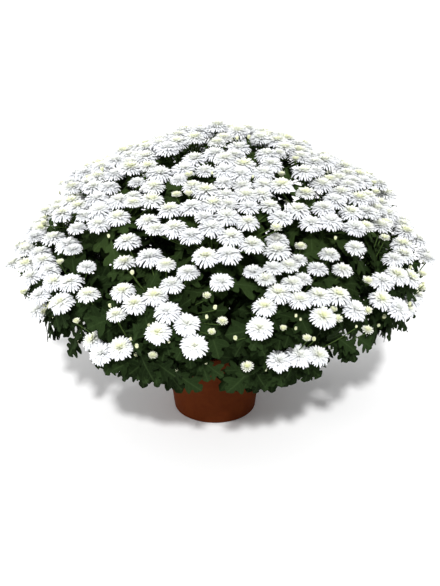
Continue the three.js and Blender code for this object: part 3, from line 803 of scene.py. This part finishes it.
def smooth(mesh, degrees):
    """Smooth shading, except at edges sharper than an angle."""
    mesh.shade_smooth()
    mesh.set_sharp_from_angle(angle=math.radians(degrees))


# %% Bundle
class Bundle:
    """Points and faces of many small parts, made into one piece."""

    def __init__(self):
        self.points, self.notes, self.faces = [], [], []
        self.count = 0

    def add(self, points, notes, faces):
        """Adds copies of one part. points and notes have one row per copy; faces are of the first copy."""
        copies, size = points.shape[:2]
        starts = self.count + size * np.arange(copies)[:, None, None]
        self.points.append(points.reshape(-1, 3))
        self.notes.append(np.broadcast_to(notes, (copies, size, 4)).reshape(-1, 4))
        for corners in {len(face) for face in faces}:
            same = np.array([face for face in faces if len(face) == corners])
            self.faces.extend((starts + same).reshape(-1, corners).tolist())
        self.count += copies * size

    def make(self, name, finish):
        piece = new_piece(name, np.concatenate(self.points), self.faces)
        notes = np.concatenate(self.notes).astype(np.float32)
        place = piece.data.attributes.new("place", "FLOAT_VECTOR", "POINT")
        place.data.foreach_set("vector", notes[:, :3].ravel())
        chance = piece.data.attributes.new("chance", "FLOAT", "POINT")
        chance.data.foreach_set("value", notes[:, 3].ravel())
        smooth(piece.data, 80)
        piece.data.materials.append(finish.material)
        return piece, sum(len(face) - 2 for face in self.faces)


# %% [markdown]
# ## Sockets that do sums
#
# A material's colour is often a sum, such as a vein's strength times a colour. In the node editor
# each sum is a Math node. The small class below lets Python write them as plain sums, and adds the
# nodes itself. Finish holds one material, and its node method adds any other node.

# %% Wire and Finish
class Wire:
    """One output socket, which can be used in sums."""

    def __init__(self, finish, socket):
        self.finish, self.socket = finish, socket

    def maths(self, operation, *others):
        return self.finish.maths(operation, self, *others)

    def __rsub__(self, other):
        return self.finish.maths("SUBTRACT", other, self)

    __add__ = __radd__ = partialmethod(maths, "ADD")
    __mul__ = __rmul__ = partialmethod(maths, "MULTIPLY")
    __sub__ = partialmethod(maths, "SUBTRACT")
    __pow__ = partialmethod(maths, "POWER")


class Finish:
    """A material that is built node by node round one Principled shader."""

    def __init__(self, name, **constants):
        self.material = bpy.data.materials.new(name)
        self.material.use_nodes = True
        self.nodes = self.material.node_tree.nodes
        self.shader = self.nodes["Principled BSDF"]
        for socket, value in constants.items():
            self.shader.inputs[socket.replace("_", " ")].default_value = value

    def node(self, kind, settings=None, inputs=None, output=0):
        """Adds a node with its settings and inputs, and gives one of its outputs."""
        node = self.nodes.new("ShaderNode" + kind)
        for key, value in (settings or {}).items():
            setattr(node, key, value)
        for key, value in (inputs or {}).items():
            self.feed(node.inputs[key], value)
        return Wire(self, node.outputs[output])

    def feed(self, socket, value):
        if isinstance(value, Wire):
            self.material.node_tree.links.new(value.socket, socket)
        else:
            socket.default_value = (*value, 1) if socket.type == "RGBA" else value

    def set(self, socket, value):
        self.feed(self.shader.inputs[socket], value)

    def maths(self, operation, *values):
        return self.node("Math", {"operation": operation}, dict(enumerate(values)))

    def noise(self, scale, detail):
        return self.node("TexNoise", inputs={"Scale": scale, "Detail": detail})

    def mix(self, factor, first, second):
        """A colour between two."""
        settings = {"data_type": "RGBA", "clamp_factor": True}
        return self.node("Mix", settings, {0: factor, 6: first, 7: second}, output=2)

    def note(self, label, part=None):
        """A number kept with the mesh's points: chance, or the x, y or z of place."""
        wire = self.node("Attribute", {"attribute_name": label}, output=2 if part is None else 1)
        return wire if part is None else self.node("SeparateXYZ", inputs={0: wire}, output="xyz".index(part))

    def bump(self, height, distance):
        self.set("Normal", self.node("Bump", inputs={"Height": height, "Distance": distance * MM}))


# %% [markdown]
# ## Petal white
#
# White petals are not one white. On the inner petals, near the middle, they are a pale yellow-green,
# and the tips are clean and bright. Towards its root each petal is darker, which is painted shade where
# the petals overlap. The sides of the petals are a painted cool grey shade, as if turned down out of the
# light, which tells the petals apart. Fine furrows run along each petal. The colour comes from where a point
# is on its petal and how far inside the flower that petal is, both kept with the mesh.

# %% Petal finish
PETAL_WHITE = (0.88, 0.89, 0.92)
PETAL_THROAT = (0.90, 0.93, 0.55)
# The darker tone of the painted shade near the petals' roots, also used for a random duller tone.
PETAL_SHADE = (0.86, 0.87, 0.76)
# The cool grey of the painted shade on the sides of the petals.
PETAL_EDGE_SHADE = (0.52, 0.56, 0.64)
FURROWS = 19
# How much of each colour shows: the throat's fading outwards, the painted root shade's, the chance's and the
# painted edge shade's.
PETAL_SHARE = Group(fade=0.35, root=0.5, chance=0.12, edge=0.6)

petal = Finish("petal_white", Roughness=0.65, Specular_IOR_Level=0.2)
petal_along, petal_across, petal_inner = (petal.note("place", axis) for axis in "xyz")
throat = petal_inner * (1 - petal_along * PETAL_SHARE.fade)
# Painted shade: each petal is mixed towards PETAL_SHADE near its root, where the petals overlap. The chance
# adds a random duller tone.
root_shade = (1 - petal_along) ** 2.0 * PETAL_SHARE.root
furrows = (petal_across * FURROWS).maths("SINE") * 0.5
petal_mottle = petal.noise(260.0, 2.0)
shade = root_shade + petal.note("chance") * PETAL_SHARE.chance
shaded = petal.mix(shade, PETAL_WHITE, PETAL_SHADE)
# Painted shade: the sides of each petal, most on the outer rings, are mixed towards a cool grey, as if turned
# down out of the light.
edge = (petal_across * petal_across) ** 1.5 * PETAL_SHARE.edge
edge_shaded = petal.mix(edge * (1 - petal_inner), shaded, PETAL_EDGE_SHADE)
petal.set("Base Color", petal.mix(throat, edge_shaded, PETAL_THROAT))
petal.bump(furrows + petal_mottle * 0.4, 0.15)
print("petal nodes:", len(petal.nodes))

# %% [markdown]
# ## Leaf green
#
# Chrysanthemum leaves are a dull dark green, with paler veins and a paler underside. The midrib runs
# down the middle and side veins branch forward into the lobes. Each vein is a thin line where a
# wave crosses zero, drawn from the place on the leaf. Stems share this finish, but are lighter, by a
# number that is kept with the mesh. Leaves near the top are lighter by the same number: painted light
# for the brighter top of the bush, and partly the paler green of young leaves.

# %% Leaf finish
LEAF_DARK = (0.004, 0.008, 0.002)
LEAF_MID = (0.018, 0.034, 0.010)
LEAF_VEIN = (0.035, 0.06, 0.02)
STEM_GREEN = (0.06, 0.10, 0.025)
# Side veins: how far they lean forward, how many there are, and how thin and strong. The midrib: how thin.
VEIN = Group(lean=0.17, pace=22, thin=7.0, strong=0.55, midrib_thin=22.0)

leaf_finish = Finish("leaf_green", Roughness=0.85, Specular_IOR_Level=0.03)
leaf_along, leaf_across, lightness = (leaf_finish.note("place", axis) for axis in "xyz")
off_middle = leaf_across.maths("ABSOLUTE")
side_wave = ((leaf_along - off_middle * VEIN.lean) * VEIN.pace).maths("SINE")
side_veins = (1 - side_wave.maths("ABSOLUTE")) ** VEIN.thin
midrib = (1 - off_middle).maths("MAXIMUM", 0.0) ** VEIN.midrib_thin
veins = midrib.maths("MAXIMUM", side_veins * VEIN.strong)
leaf_mottle = leaf_finish.noise(60.0, 4.0)
leaf_tone = leaf_finish.note("chance") * 0.7 + leaf_mottle * 0.5 - 0.2
green = leaf_finish.mix(leaf_tone, LEAF_DARK, LEAF_MID)
green = leaf_finish.mix(veins * 0.5, green, LEAF_VEIN)
# Stems are a lighter green of their own. Leaves high on the bush are lighter too, partly by painted light.
leaf_finish.set("Base Color", leaf_finish.mix(lightness, green, STEM_GREEN))
leaf_finish.bump(leaf_mottle * 0.6 - veins, 0.35)
print("leaf nodes:", len(leaf_finish.nodes))

# %% [markdown]
# ## One petal
#
# A petal is a long narrow strip: pointed where it is rooted, widest near its end and rounded at the
# tip. Its top is a low ridge, so each petal catches the light by itself. Three points round each
# section are the fewest that close it, which counts with so many thousands of them. The
# outermost petals, which are seen from the side, get three sections, and the others two.

# %% Petal shape
PETAL_LONG = [(0.35, 0.72), (0.78, 1.0), (0.95, 0.62)]
PETAL_SHORT = [(0.45, 0.85), (0.88, 0.8)]
PETAL_RIDGE = 0.045


def spindle_faces(sides, last):
    """Faces of a shape of rings of points, with one point at each end: 0 and last."""
    faces = []
    for corner in range(sides):
        after = (corner + 1) % sides
        faces.append((0, 1 + after, 1 + corner))
        faces.append((last, last - sides + corner, last - sides + after))
        for start in range(1, last - sides, sides):
            faces.append((start + corner, start + after, start + sides + after, start + sides + corner))
    return faces


def petal_notes(stations):
    """How far along and across the petal each of its points is."""
    rows = [(share, side) for share, _ in stations for side in (-1, 1, 0)]
    return np.array([(0, 0), *rows, (1, 0)], dtype=float)


def petal_points(stations, root, tip, arch, width, azimuth, twist):
    """Points of many petals of a flower of radius 1 about the z axis.

    root and tip are (distance from the axis, height) of each petal, arch is how far its middle
    bows upwards, and the result has one row of points for each petal.
    """
    x_axis, y_axis = np.eye(3)[:2]
    outward = around(azimuth[:, None], x_axis, y_axis)
    sideways = around(azimuth[:, None], y_axis, -x_axis)
    run, climb = (tip - root).T
    length = np.hypot(run, climb)
    rows = []
    for share, wide in [(0, 0), *stations, (1, 0)]:
        bow = arch * 4 * share * (1 - share)
        slope = arch * 4 * (1 - 2 * share)
        reach = root[:, 0] + run * share - climb / length * bow
        height = root[:, 1] + climb * share + run / length * bow
        tangent = unit(np.stack([run - climb / length * slope, climb + run / length * slope], -1))
        centre = reach[:, None] * outward + height[:, None] * UP
        face = -tangent[:, 1:] * outward + tangent[:, :1] * UP
        if wide == 0:
            rows.append(centre)
            continue
        half = (width * wide / 2)[:, None]
        across = sideways * np.cos(twist)[:, None] + face * np.sin(twist)[:, None]
        rows += [centre - across * half, centre + across * half, centre + face * PETAL_RIDGE]
    return np.stack(rows, 1)


# %% [markdown]
# ## One bloom
#
# A double bloom is rings of petals, each shorter and higher than the one outside it, so that the
# tips make a cushion. The outermost droop, and dark shows between them. The innermost close over a
# yellow-green eye, which fades as the flower ages. One number opens or closes the flower: the less
# open it is, the more every ring stands up and leans in, until it is a round bud of a few petals.

# %% Bloom shape
# Each ring of an open bloom: petals, tip distance and height, arch, width, and how far inside it is.
PETAL_RINGS = [
    Group(petals=petals, tip=tip, arch=arch, width=width, inner=inner, stations=stations)
    for petals, tip, arch, width, inner, stations in (
        (25, (0.96, -0.32), 0.24, 0.18, 0.0, PETAL_LONG), (25, (1.0, -0.08), 0.24, 0.18, 0.0, PETAL_SHORT),
        (21, (0.92, 0.15), 0.22, 0.20, 0.1, PETAL_SHORT), (16, (0.75, 0.35), 0.17, 0.22, 0.35, PETAL_SHORT),
        (11, (0.51, 0.48), 0.12, 0.25, 0.75, PETAL_SHORT), (7, (0.22, 0.54), 0.04, 0.23, 1.0, PETAL_SHORT),
    )
]
BUD_RINGS = [
    Group(**{**vars(PETAL_RINGS[ring]), "petals": petals, "width": 0.5})
    for ring, petals in ((2, 8), (3, 7), (4, 5))
]
# Where the petals are rooted, from the axis and in height, and how much nearer each ring is to the axis.
PETAL_ROOT = (0.10, -0.22)
ROOT_STEP = 0.12
# A less open flower is a bud, and a more open one has all its petals. One between has this share.
BUD_BELOW, ALL_ABOVE, HALF_OPEN_SHARE = 0.3, 0.82, 0.55
PETAL_STRAY = Group(turn=0.45, reach=0.24, height=0.14, arch=0.8, width=0.3, twist=0.6)
# In a closed flower: the reach of its petals, their height for their reach and besides, their bow, and
# how green they are. The eye of an open flower keeps at least the last number of its green.
CLOSED = Group(reach=0.3, height=0.9, extra=0.2, bow=0.35, inner=1.3)
LEAST_YOUTH = 0.15


def add_bloom(bundle, bloom, draw_array, opened=1.0):
    """Adds one bloom's petals. draw_array gives the small differences between petals."""
    axes = np.stack([bloom.front, bloom.side, bloom.normal])
    youth = 1.0 if opened < ALL_ABOVE else between((LEAST_YOUTH, 1.0), draw_array() ** 1.5)
    closed = 1 - opened
    for index, ring in enumerate(PETAL_RINGS if opened > BUD_BELOW else BUD_RINGS):
        half_open = BUD_BELOW <= opened <= ALL_ABOVE
        count = round(HALF_OPEN_SHARE * ring.petals) if half_open else ring.petals
        turn, far, tall, bow, wide, twist = (draw_array((count, 6)) - 0.5).T
        azimuth = TURN * (np.arange(count) + 0.5 * index + PETAL_STRAY.turn * turn) / count
        distance, rise = ring.tip
        reach = distance * between((CLOSED.reach, 1), opened) * (1 + PETAL_STRAY.reach * far)
        height = rise * opened + closed * (CLOSED.height * distance + CLOSED.extra)
        height = height + PETAL_STRAY.height * tall
        root = np.tile(np.array(PETAL_ROOT) * (1 - ROOT_STEP * index, 1), (count, 1))
        arch = ring.arch * (1 + PETAL_STRAY.arch * bow) - closed * CLOSED.bow
        width = ring.width * (1 + PETAL_STRAY.width * wide)
        tip = np.stack([reach, height], -1)
        points = petal_points(ring.stations, root, tip, arch, width, azimuth, PETAL_STRAY.twist * twist)
        place = petal_notes(ring.stations)
        notes = np.zeros((count, len(place), 4))
        notes[:, :, :2] = place
        notes[:, :, 2] = min(1, ring.inner + closed * CLOSED.inner) * youth
        notes[:, :, 3] = draw_array((count, 1))
        faces = spindle_faces(3, len(place) - 1)
        bundle.add(bloom.centre + bloom.radius * (points @ axes), notes, faces)


# %% Make the flowers of every spray
flower_triangles = 0
for index, spray in enumerate(SPRAYS):
    draw_array = np.random.default_rng(SEED + index).random
    flowers = Bundle()
    for bloom in spray.blooms:
        add_bloom(flowers, bloom, draw_array)
    for bloom in spray.fillers:
        add_bloom(flowers, bloom, draw_array, bloom.open)
    piece, triangles = flowers.make(f"{spray.name}_flowers", petal)
    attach(piece, "root")
    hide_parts(f"{spray.name}_blooms")
    flower_triangles += triangles
print("triangles in flowers:", flower_triangles)

# %% [markdown]
# ## One leaf
#
# A chrysanthemum leaf is lobed: two pairs of broad lobes with small teeth and one at the end, on a
# short stalk. The outline is a list of points for one half, and rows of points across it make the
# blade, so it can fold at the midrib, curl down and wave at its edge. A second, simpler layer
# underneath closes it. The deeper in the bush a leaf lies, the plainer the pattern that it gets.

# %% Leaf shape
LEAF_HALF = [
    (0.0, 0.07), (0.14, 0.06), (0.2, 0.14), (0.24, 0.42), (0.3, 0.6), (0.37, 0.68), (0.42, 0.54),
    (0.44, 0.28), (0.5, 0.34), (0.54, 0.74), (0.6, 0.94), (0.68, 1.0), (0.73, 0.84), (0.75, 0.42),
    (0.8, 0.32), (0.85, 0.46), (0.91, 0.4), (0.96, 0.22), (1.0, 0.03),
]
LEAF_HALF_PLAIN = [
    (0.0, 0.06), (0.2, 0.16), (0.38, 0.72), (0.46, 0.34), (0.7, 1.0), (0.79, 0.4), (0.88, 0.42),
    (1.0, 0.03),
]


def leaf_pattern(outline, columns):
    """Where a leaf's points are along and across the blade, how near its edge, and its faces."""
    reach, wide = np.array(outline).T
    rows, count = len(reach), len(columns)
    under = rows * count
    faces = []
    for row in range(rows - 1):
        left, middle = row * count, under + row
        right = left + count - 1
        for corner in range(left, right):
            faces.append((corner, corner + count, corner + count + 1, corner + 1))
        faces.append((left, middle, middle + 1, left + count))
        faces.append((middle, right, right + count, middle + 1))
    faces.append((*range(count), under))
    faces.append((*range(under - 1, under - count - 1, -1), under + rows - 1))
    return Group(
        reach=np.concatenate([np.repeat(reach, count), reach]),
        across=np.concatenate([np.outer(wide, columns).ravel(), 0 * reach]),
        edge=np.concatenate([np.tile(np.abs(columns), rows), 0 * reach]),
        under=under, faces=faces)


# Each pattern, with how far below the crown the leaves that get it lie at most.
LEAF_PATTERNS = [
    (6, leaf_pattern(LEAF_HALF, (-1, -0.55, 0, 0.55, 1))), (32, leaf_pattern(LEAF_HALF, (-1, 0, 1))),
    (math.inf, leaf_pattern(LEAF_HALF_PLAIN, (-1, 0, 1))),
]
BLADE = Group(thickness=0.9, wave=1.6, waves=14, dome=0.07, turned_up=0.9, fuller=0.08)
# Leaves near the top are lighter, painted light for the brighter top of the bush and partly the paler green
# of young leaves: from this height, over this much of it, and by how much.
HIGH_LEAF_LIGHT = Group(start=380, over=160, light=0.35)
print("faces in a leaf:", [len(pattern.faces) for _, pattern in LEAF_PATTERNS])


def add_leaf(bundle, leaf, stray):
    """Adds one leaf. stray is three numbers from 0 to 1 that vary its waves and its colour."""
    depth = -crown_at(leaf.middle, 1)[0]
    pattern = next(pattern for deepest, pattern in LEAF_PATTERNS if depth < deepest)
    reach, across, edge = pattern.reach, pattern.across, pattern.edge
    height = BLADE.wave * edge * np.sin(BLADE.waves * reach + 6 * stray[0]) * np.sign(across + 0.01)
    height = height - BLADE.dome * leaf.half_width * across ** 2
    height = height + BLADE.turned_up * edge * (stray[1] - 0.3)
    height[pattern.under:] -= BLADE.thickness
    points = leaf_at(leaf, np.minimum(reach + BLADE.fuller * edge * across ** 2, 1.0), across, height)
    # Painted light: the higher a leaf lies, the more it is mixed towards the lighter stem green.
    light = HIGH_LEAF_LIGHT.light * min(1, max(0, (leaf.middle[2] - HIGH_LEAF_LIGHT.start) / HIGH_LEAF_LIGHT.over))
    notes = np.stack([reach, across, np.full_like(reach, light), np.full_like(reach, stray[2])], -1)
    bundle.add(points[None], notes[None], pattern.faces)


# %% [markdown]
# ## Stems, stalks and green cups
#
# The main stem follows its flow line out of the soil to the fork. From the fork a stalk runs to each
# flower, bowed a little by the flower's weight. Under each flower sits a green cup of small
# bracts. All three are tubes along a path with a radius that changes on the way.

# %% Tubes
def tube(path, radii, sides):
    """Points and faces of a closed tube along a path of points."""
    path = np.asarray(path, dtype=float)
    tangent = unit(np.gradient(path, axis=0))
    side = unit(np.cross(tangent, UP if abs(tangent[0][2]) < 0.9 else UP[::-1]))
    face = np.cross(tangent, side)
    turns = TURN * np.arange(sides)[:, None] / sides
    rings = [centre + radius * around(turns, *axes) for centre, radius, *axes in zip(path, radii, side, face)]
    faces = []
    for row in range(len(path) - 1):
        for corner in range(sides):
            a, b = row * sides + corner, row * sides + (corner + 1) % sides
            faces.append((a, a + sides, b + sides, b))
    faces.append(tuple(range(sides)))
    faces.append(tuple(range(len(path) * sides - 1, (len(path) - 1) * sides - 1, -1)))
    return np.concatenate(rings), faces


def add_tube(bundle, path, radii, sides, lightness):
    points, faces = tube(path, radii, sides)
    notes = np.zeros((len(points), 4))
    notes[:, 2] = lightness
    bundle.add(points[None], notes[None], faces)


# Stalk: steps, sag of its bow and bow for its length. Cup: radii and heights for the flower's radius.
STALK = Group(steps=5, sag=0.6, bow=0.05, radii=(1.5, 1.15), sides=5, light=0.75, thinner=0.75)
CUP = Group(radii=(0.05, 0.16, 0.24, 0.25), heights=(-0.06, 0.02, 0.12, 0.22), sides=7, light=0.6)
MAIN_STEM = Group(points=12, sides=8, light=0.55)
SOIL_TOP = 147


def stalk_path(spray, bloom):
    """From the fork to the flower, bowed outwards and down by the flower's weight."""
    offset = bloom.base - spray.fork
    shares = np.linspace(0, 1, STALK.steps + 1)[:, None]
    bow = unit(crown_at(bloom.base, 1)[1] - UP * STALK.sag) * STALK.bow * np.linalg.norm(offset)
    return on_stalk(spray, bloom, shares) + bow * np.sin(math.pi * shares)


def add_stems(bundle, spray):
    flow, count = spray.flow, MAIN_STEM.points
    start = (SOIL_TOP - ROOT_HEIGHT) / math.cos(flow.angle) - STEM.buried
    distances = np.linspace(start, flow.distance - STEM.fork_depth, count)
    radii = np.linspace(STEM.root_radius, STEM.fork_radius, count)
    path = [flow_point(flow, distance) for distance in distances]
    add_tube(bundle, path, radii, MAIN_STEM.sides, MAIN_STEM.light)
    for bloom in spray.blooms + spray.fillers:
        thin = STALK.thinner if bloom.radius < FILLERS[0].radius[0] else 1.0
        path = stalk_path(spray, bloom)
        add_tube(bundle, path, np.linspace(*STALK.radii, len(path)) * thin, STALK.sides, STALK.light)
        heights = np.array(CUP.heights)[:, None] * bloom.radius
        cup = bloom.radius * np.array(CUP.radii)
        add_tube(bundle, bloom.base + heights * bloom.normal, cup, CUP.sides, CUP.light)


# %% Make the foliage of every spray
foliage_triangles = 0
for index, spray in enumerate(SPRAYS):
    draw_array = np.random.default_rng(SEED + 100 + index).random
    foliage = Bundle()
    add_stems(foliage, spray)
    for leaf in spray.leaves:
        add_leaf(foliage, leaf, draw_array(3))
    piece, triangles = foliage.make(f"{spray.name}_foliage", leaf_finish)
    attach(piece, "root")
    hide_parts(f"{spray.name}_leafy_stem")
    foliage_triangles += triangles
print("triangles in foliage:", foliage_triangles)

# %% [markdown]
# ## The pot
#
# The pot is a plain tapered one with a band round its mouth. It is a shape turned about an axis, so
# one profile makes it: a list of points from the middle of the base, up the outside, over the
# rim and down the inside. Edges that a mould rounds off are short arcs in the profile. The drain
# holes are cut with a boolean.

# %% Turned shapes
def turned(name, profile, segments):
    """A piece whose profile of (radius, height), from axis to axis, is turned about the z axis."""
    turns = TURN * np.arange(segments) / segments
    points = [(0, 0, profile[0][1])]
    for radius, height in profile[1:-1]:
        points += [(radius * math.cos(turn), radius * math.sin(turn), height) for turn in turns]
    points.append((0, 0, profile[-1][1]))
    return new_piece(name, points, spindle_faces(segments, len(points) - 1))


def arc(centre, radius, start, end, steps=4):
    """Points of an arc, in degrees from outward, for a profile's rounded edge."""
    turns = np.radians(np.linspace(start, end, steps + 1))
    return [(centre[0] + radius * math.cos(turn), centre[1] + radius * math.sin(turn)) for turn in turns]


# %% Pot finish
TERRACOTTA = (0.062, 0.012, 0.003)
TERRACOTTA_LIGHT = (0.088, 0.021, 0.005)

clay = Finish("pot_brown", Specular_IOR_Level=0.02)
clay_mottle = clay.noise(14.0, 5.0)
clay.set("Base Color", clay.mix(clay_mottle * 1.1 - 0.2, TERRACOTTA, TERRACOTTA_LIGHT))
clay.set("Roughness", clay_mottle * 0.15 + 0.6)
clay.bump(clay.noise(420.0, 2.0), 0.08)

# %% Pot shell
BAND_PROUD = 3
EDGE = 1.6
bore_taper = (POT.mouth_radius - POT.base_radius) / (POT.height - POT.floor)
taper = (POT.mouth_radius - POT.base_radius) / POT.height
band_foot = POT.height - POT.band_height
outside = POT.base_radius + taper * band_foot
inside_base = POT.base_radius - POT.wall
rim_edge = POT.height - EDGE
pot_profile = [
    (0, 0), (POT.base_radius - 14, 0), *arc((POT.base_radius - 3, 3), 3, -90, -5),
    (outside - 0.8, band_foot - 3), *arc((outside + 1.2, band_foot - 1), 1.5, 180, 100, 3),
    *arc((outside + BAND_PROUD - EDGE, band_foot + EDGE + 0.4), EDGE, -80, 0),
    *arc((POT.mouth_radius + BAND_PROUD - EDGE, rim_edge), EDGE, 0, 90),
    *arc((POT.mouth_radius - POT.wall + EDGE, rim_edge), EDGE, 90, 180),
    (inside_base + 4, POT.floor + 3), (inside_base, POT.floor), (0, POT.floor),
]
pot = turned("pot_shell", pot_profile, 128)
pot.data.materials.append(clay.material)
print("pot profile points:", len(pot_profile))

# %% Drain holes
DRAIN = Group(holes=4, radius=6, ring=52)


def cut(piece, cutter):
    """Takes the cutter's shape out of a piece and removes the cutter."""
    modifier = piece.modifiers.new("cut", "BOOLEAN")
    modifier.operation, modifier.solver, modifier.object = "DIFFERENCE", "EXACT", cutter
    graph = bpy.context.evaluated_depsgraph_get()
    result = bpy.data.meshes.new_from_object(piece.evaluated_get(graph))
    piece.modifiers.clear()
    piece.data = result
    bpy.data.objects.remove(cutter)


drill = turned("drill", [(0, -20), (DRAIN.radius, -20), (DRAIN.radius, 20), (0, 20)], 24)
drill_points, drill_faces = [], []
for hole in range(DRAIN.holes):
    place = Vector(polar_point(DRAIN.ring, TURN * hole / DRAIN.holes, 0)) * MM
    start = len(drill_points)
    drill_points += [vertex.co + place for vertex in drill.data.vertices]
    drill_faces += [[start + corner for corner in face.vertices] for face in drill.data.polygons]
drill.data = bpy.data.meshes.new("drills")
drill.data.from_pydata(drill_points, [], drill_faces)
cut(pot, drill)
smooth(pot.data, 40)
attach(pot, "root")
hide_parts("pot")
print("pot faces:", len(pot.data.polygons))

# %% [markdown]
# ## The soil
#
# Potting soil is dark crumbs of peat. The body fills the pot, and its top is a disc of rings whose
# points are lifted by layered waves and by chance, which makes lumps and crumbs of one mesh.

# %% Soil finish
SOIL_DARK = (0.012, 0.008, 0.005)
SOIL_LIGHT = (0.05, 0.032, 0.02)

earth = Finish("soil_brown", Roughness=0.95, Specular_IOR_Level=0.2)
earth_grain = earth.noise(180.0, 6.0)
earth.set("Base Color", earth.mix(earth_grain * 2.2 - 0.7, SOIL_DARK, SOIL_LIGHT))
earth.bump(earth_grain, 1.2)

# %% Soil body
SOIL_GAP = 0.3
LUMP, CRUMB = 0.8, 1.6
soil_floor = POT.floor + SOIL_GAP


def bore_radius(height):
    return inside_base + bore_taper * (height - POT.floor) - SOIL_GAP


soil = turned("soil_body", [
    (0, soil_floor), (bore_radius(soil_floor) - 5, soil_floor), (bore_radius(20) - 1, 20),
    (bore_radius(SOIL_TOP - 3) - 0.5, SOIL_TOP - 3),
    *((radius, SOIL_TOP) for radius in np.linspace(bore_radius(SOIL_TOP) - 2, 3, 30)), (0, SOIL_TOP),
], 96)
draw_array = np.random.default_rng(SEED).random
for vertex in soil.data.vertices:
    if vertex.co.z > (SOIL_TOP - 1) * MM:
        x, y = vertex.co.x / MM, vertex.co.y / MM
        lumps = math.sin(x * 0.21 + 2 * math.sin(y * 0.13)) + math.sin(y * 0.27 + 2 * math.sin(x * 0.17))
        vertex.co.z += (LUMP * lumps + CRUMB * (draw_array() - 0.6)) * MM
soil.data.shade_smooth()
soil.data.materials.append(earth.material)
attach(soil, "root")
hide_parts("soil")
print("soil points:", len(soil.data.vertices))

# %% [markdown]
# ## Floor and light
#
# The floor is a large pale sheet. A bright lamp in front, above the eye, lights the plant. A weaker and
# much softer one low on the left rounds the pot, and a pale world fills the shadows. Sun lamps with a
# wide angle do this: their light is even over the whole floor, which an area lamp's is not. The plain
# tone curve lets white reach white, and keeps the leaves dark.

# %% Floor
floor_finish = Finish("floor_white", Base_Color=(0.9, 0.9, 0.9, 1), Roughness=0.9, Specular_IOR_Level=0.1)
FLOOR_CORNERS = [(x * 30000, y * 30000, 0) for x, y in ((-1, -1), (1, -1), (1, 1), (-1, 1))]
floor = new_piece("floor", FLOOR_CORNERS, [(0, 1, 2, 3)])
floor.data.materials.append(floor_finish.material)


# %% Lamp, world and tone
WORLD_STRENGTH = 0.72


def sun(name, place, softness, strength):
    """A distant lamp that shines from a place towards the origin."""
    light = bpy.data.lights.new(name, "SUN")
    light.angle, light.energy = math.radians(softness), strength
    aim(add_object(name, light), -Vector(place))


sun("key", (0.0, -1.08, 1.0), 4, 3.1)
sun("fill", (-1.0, -0.2, 0.2), 30, 1.8)
world = bpy.data.worlds.new("studio")
world.use_nodes = True
world.node_tree.nodes["Background"].inputs["Color"].default_value = (1, 1, 1, 1)
world.node_tree.nodes["Background"].inputs["Strength"].default_value = WORLD_STRENGTH
bpy.context.scene.world = world
bpy.context.scene.view_settings.view_transform = "Standard"

# %% [markdown]
# ## Finish
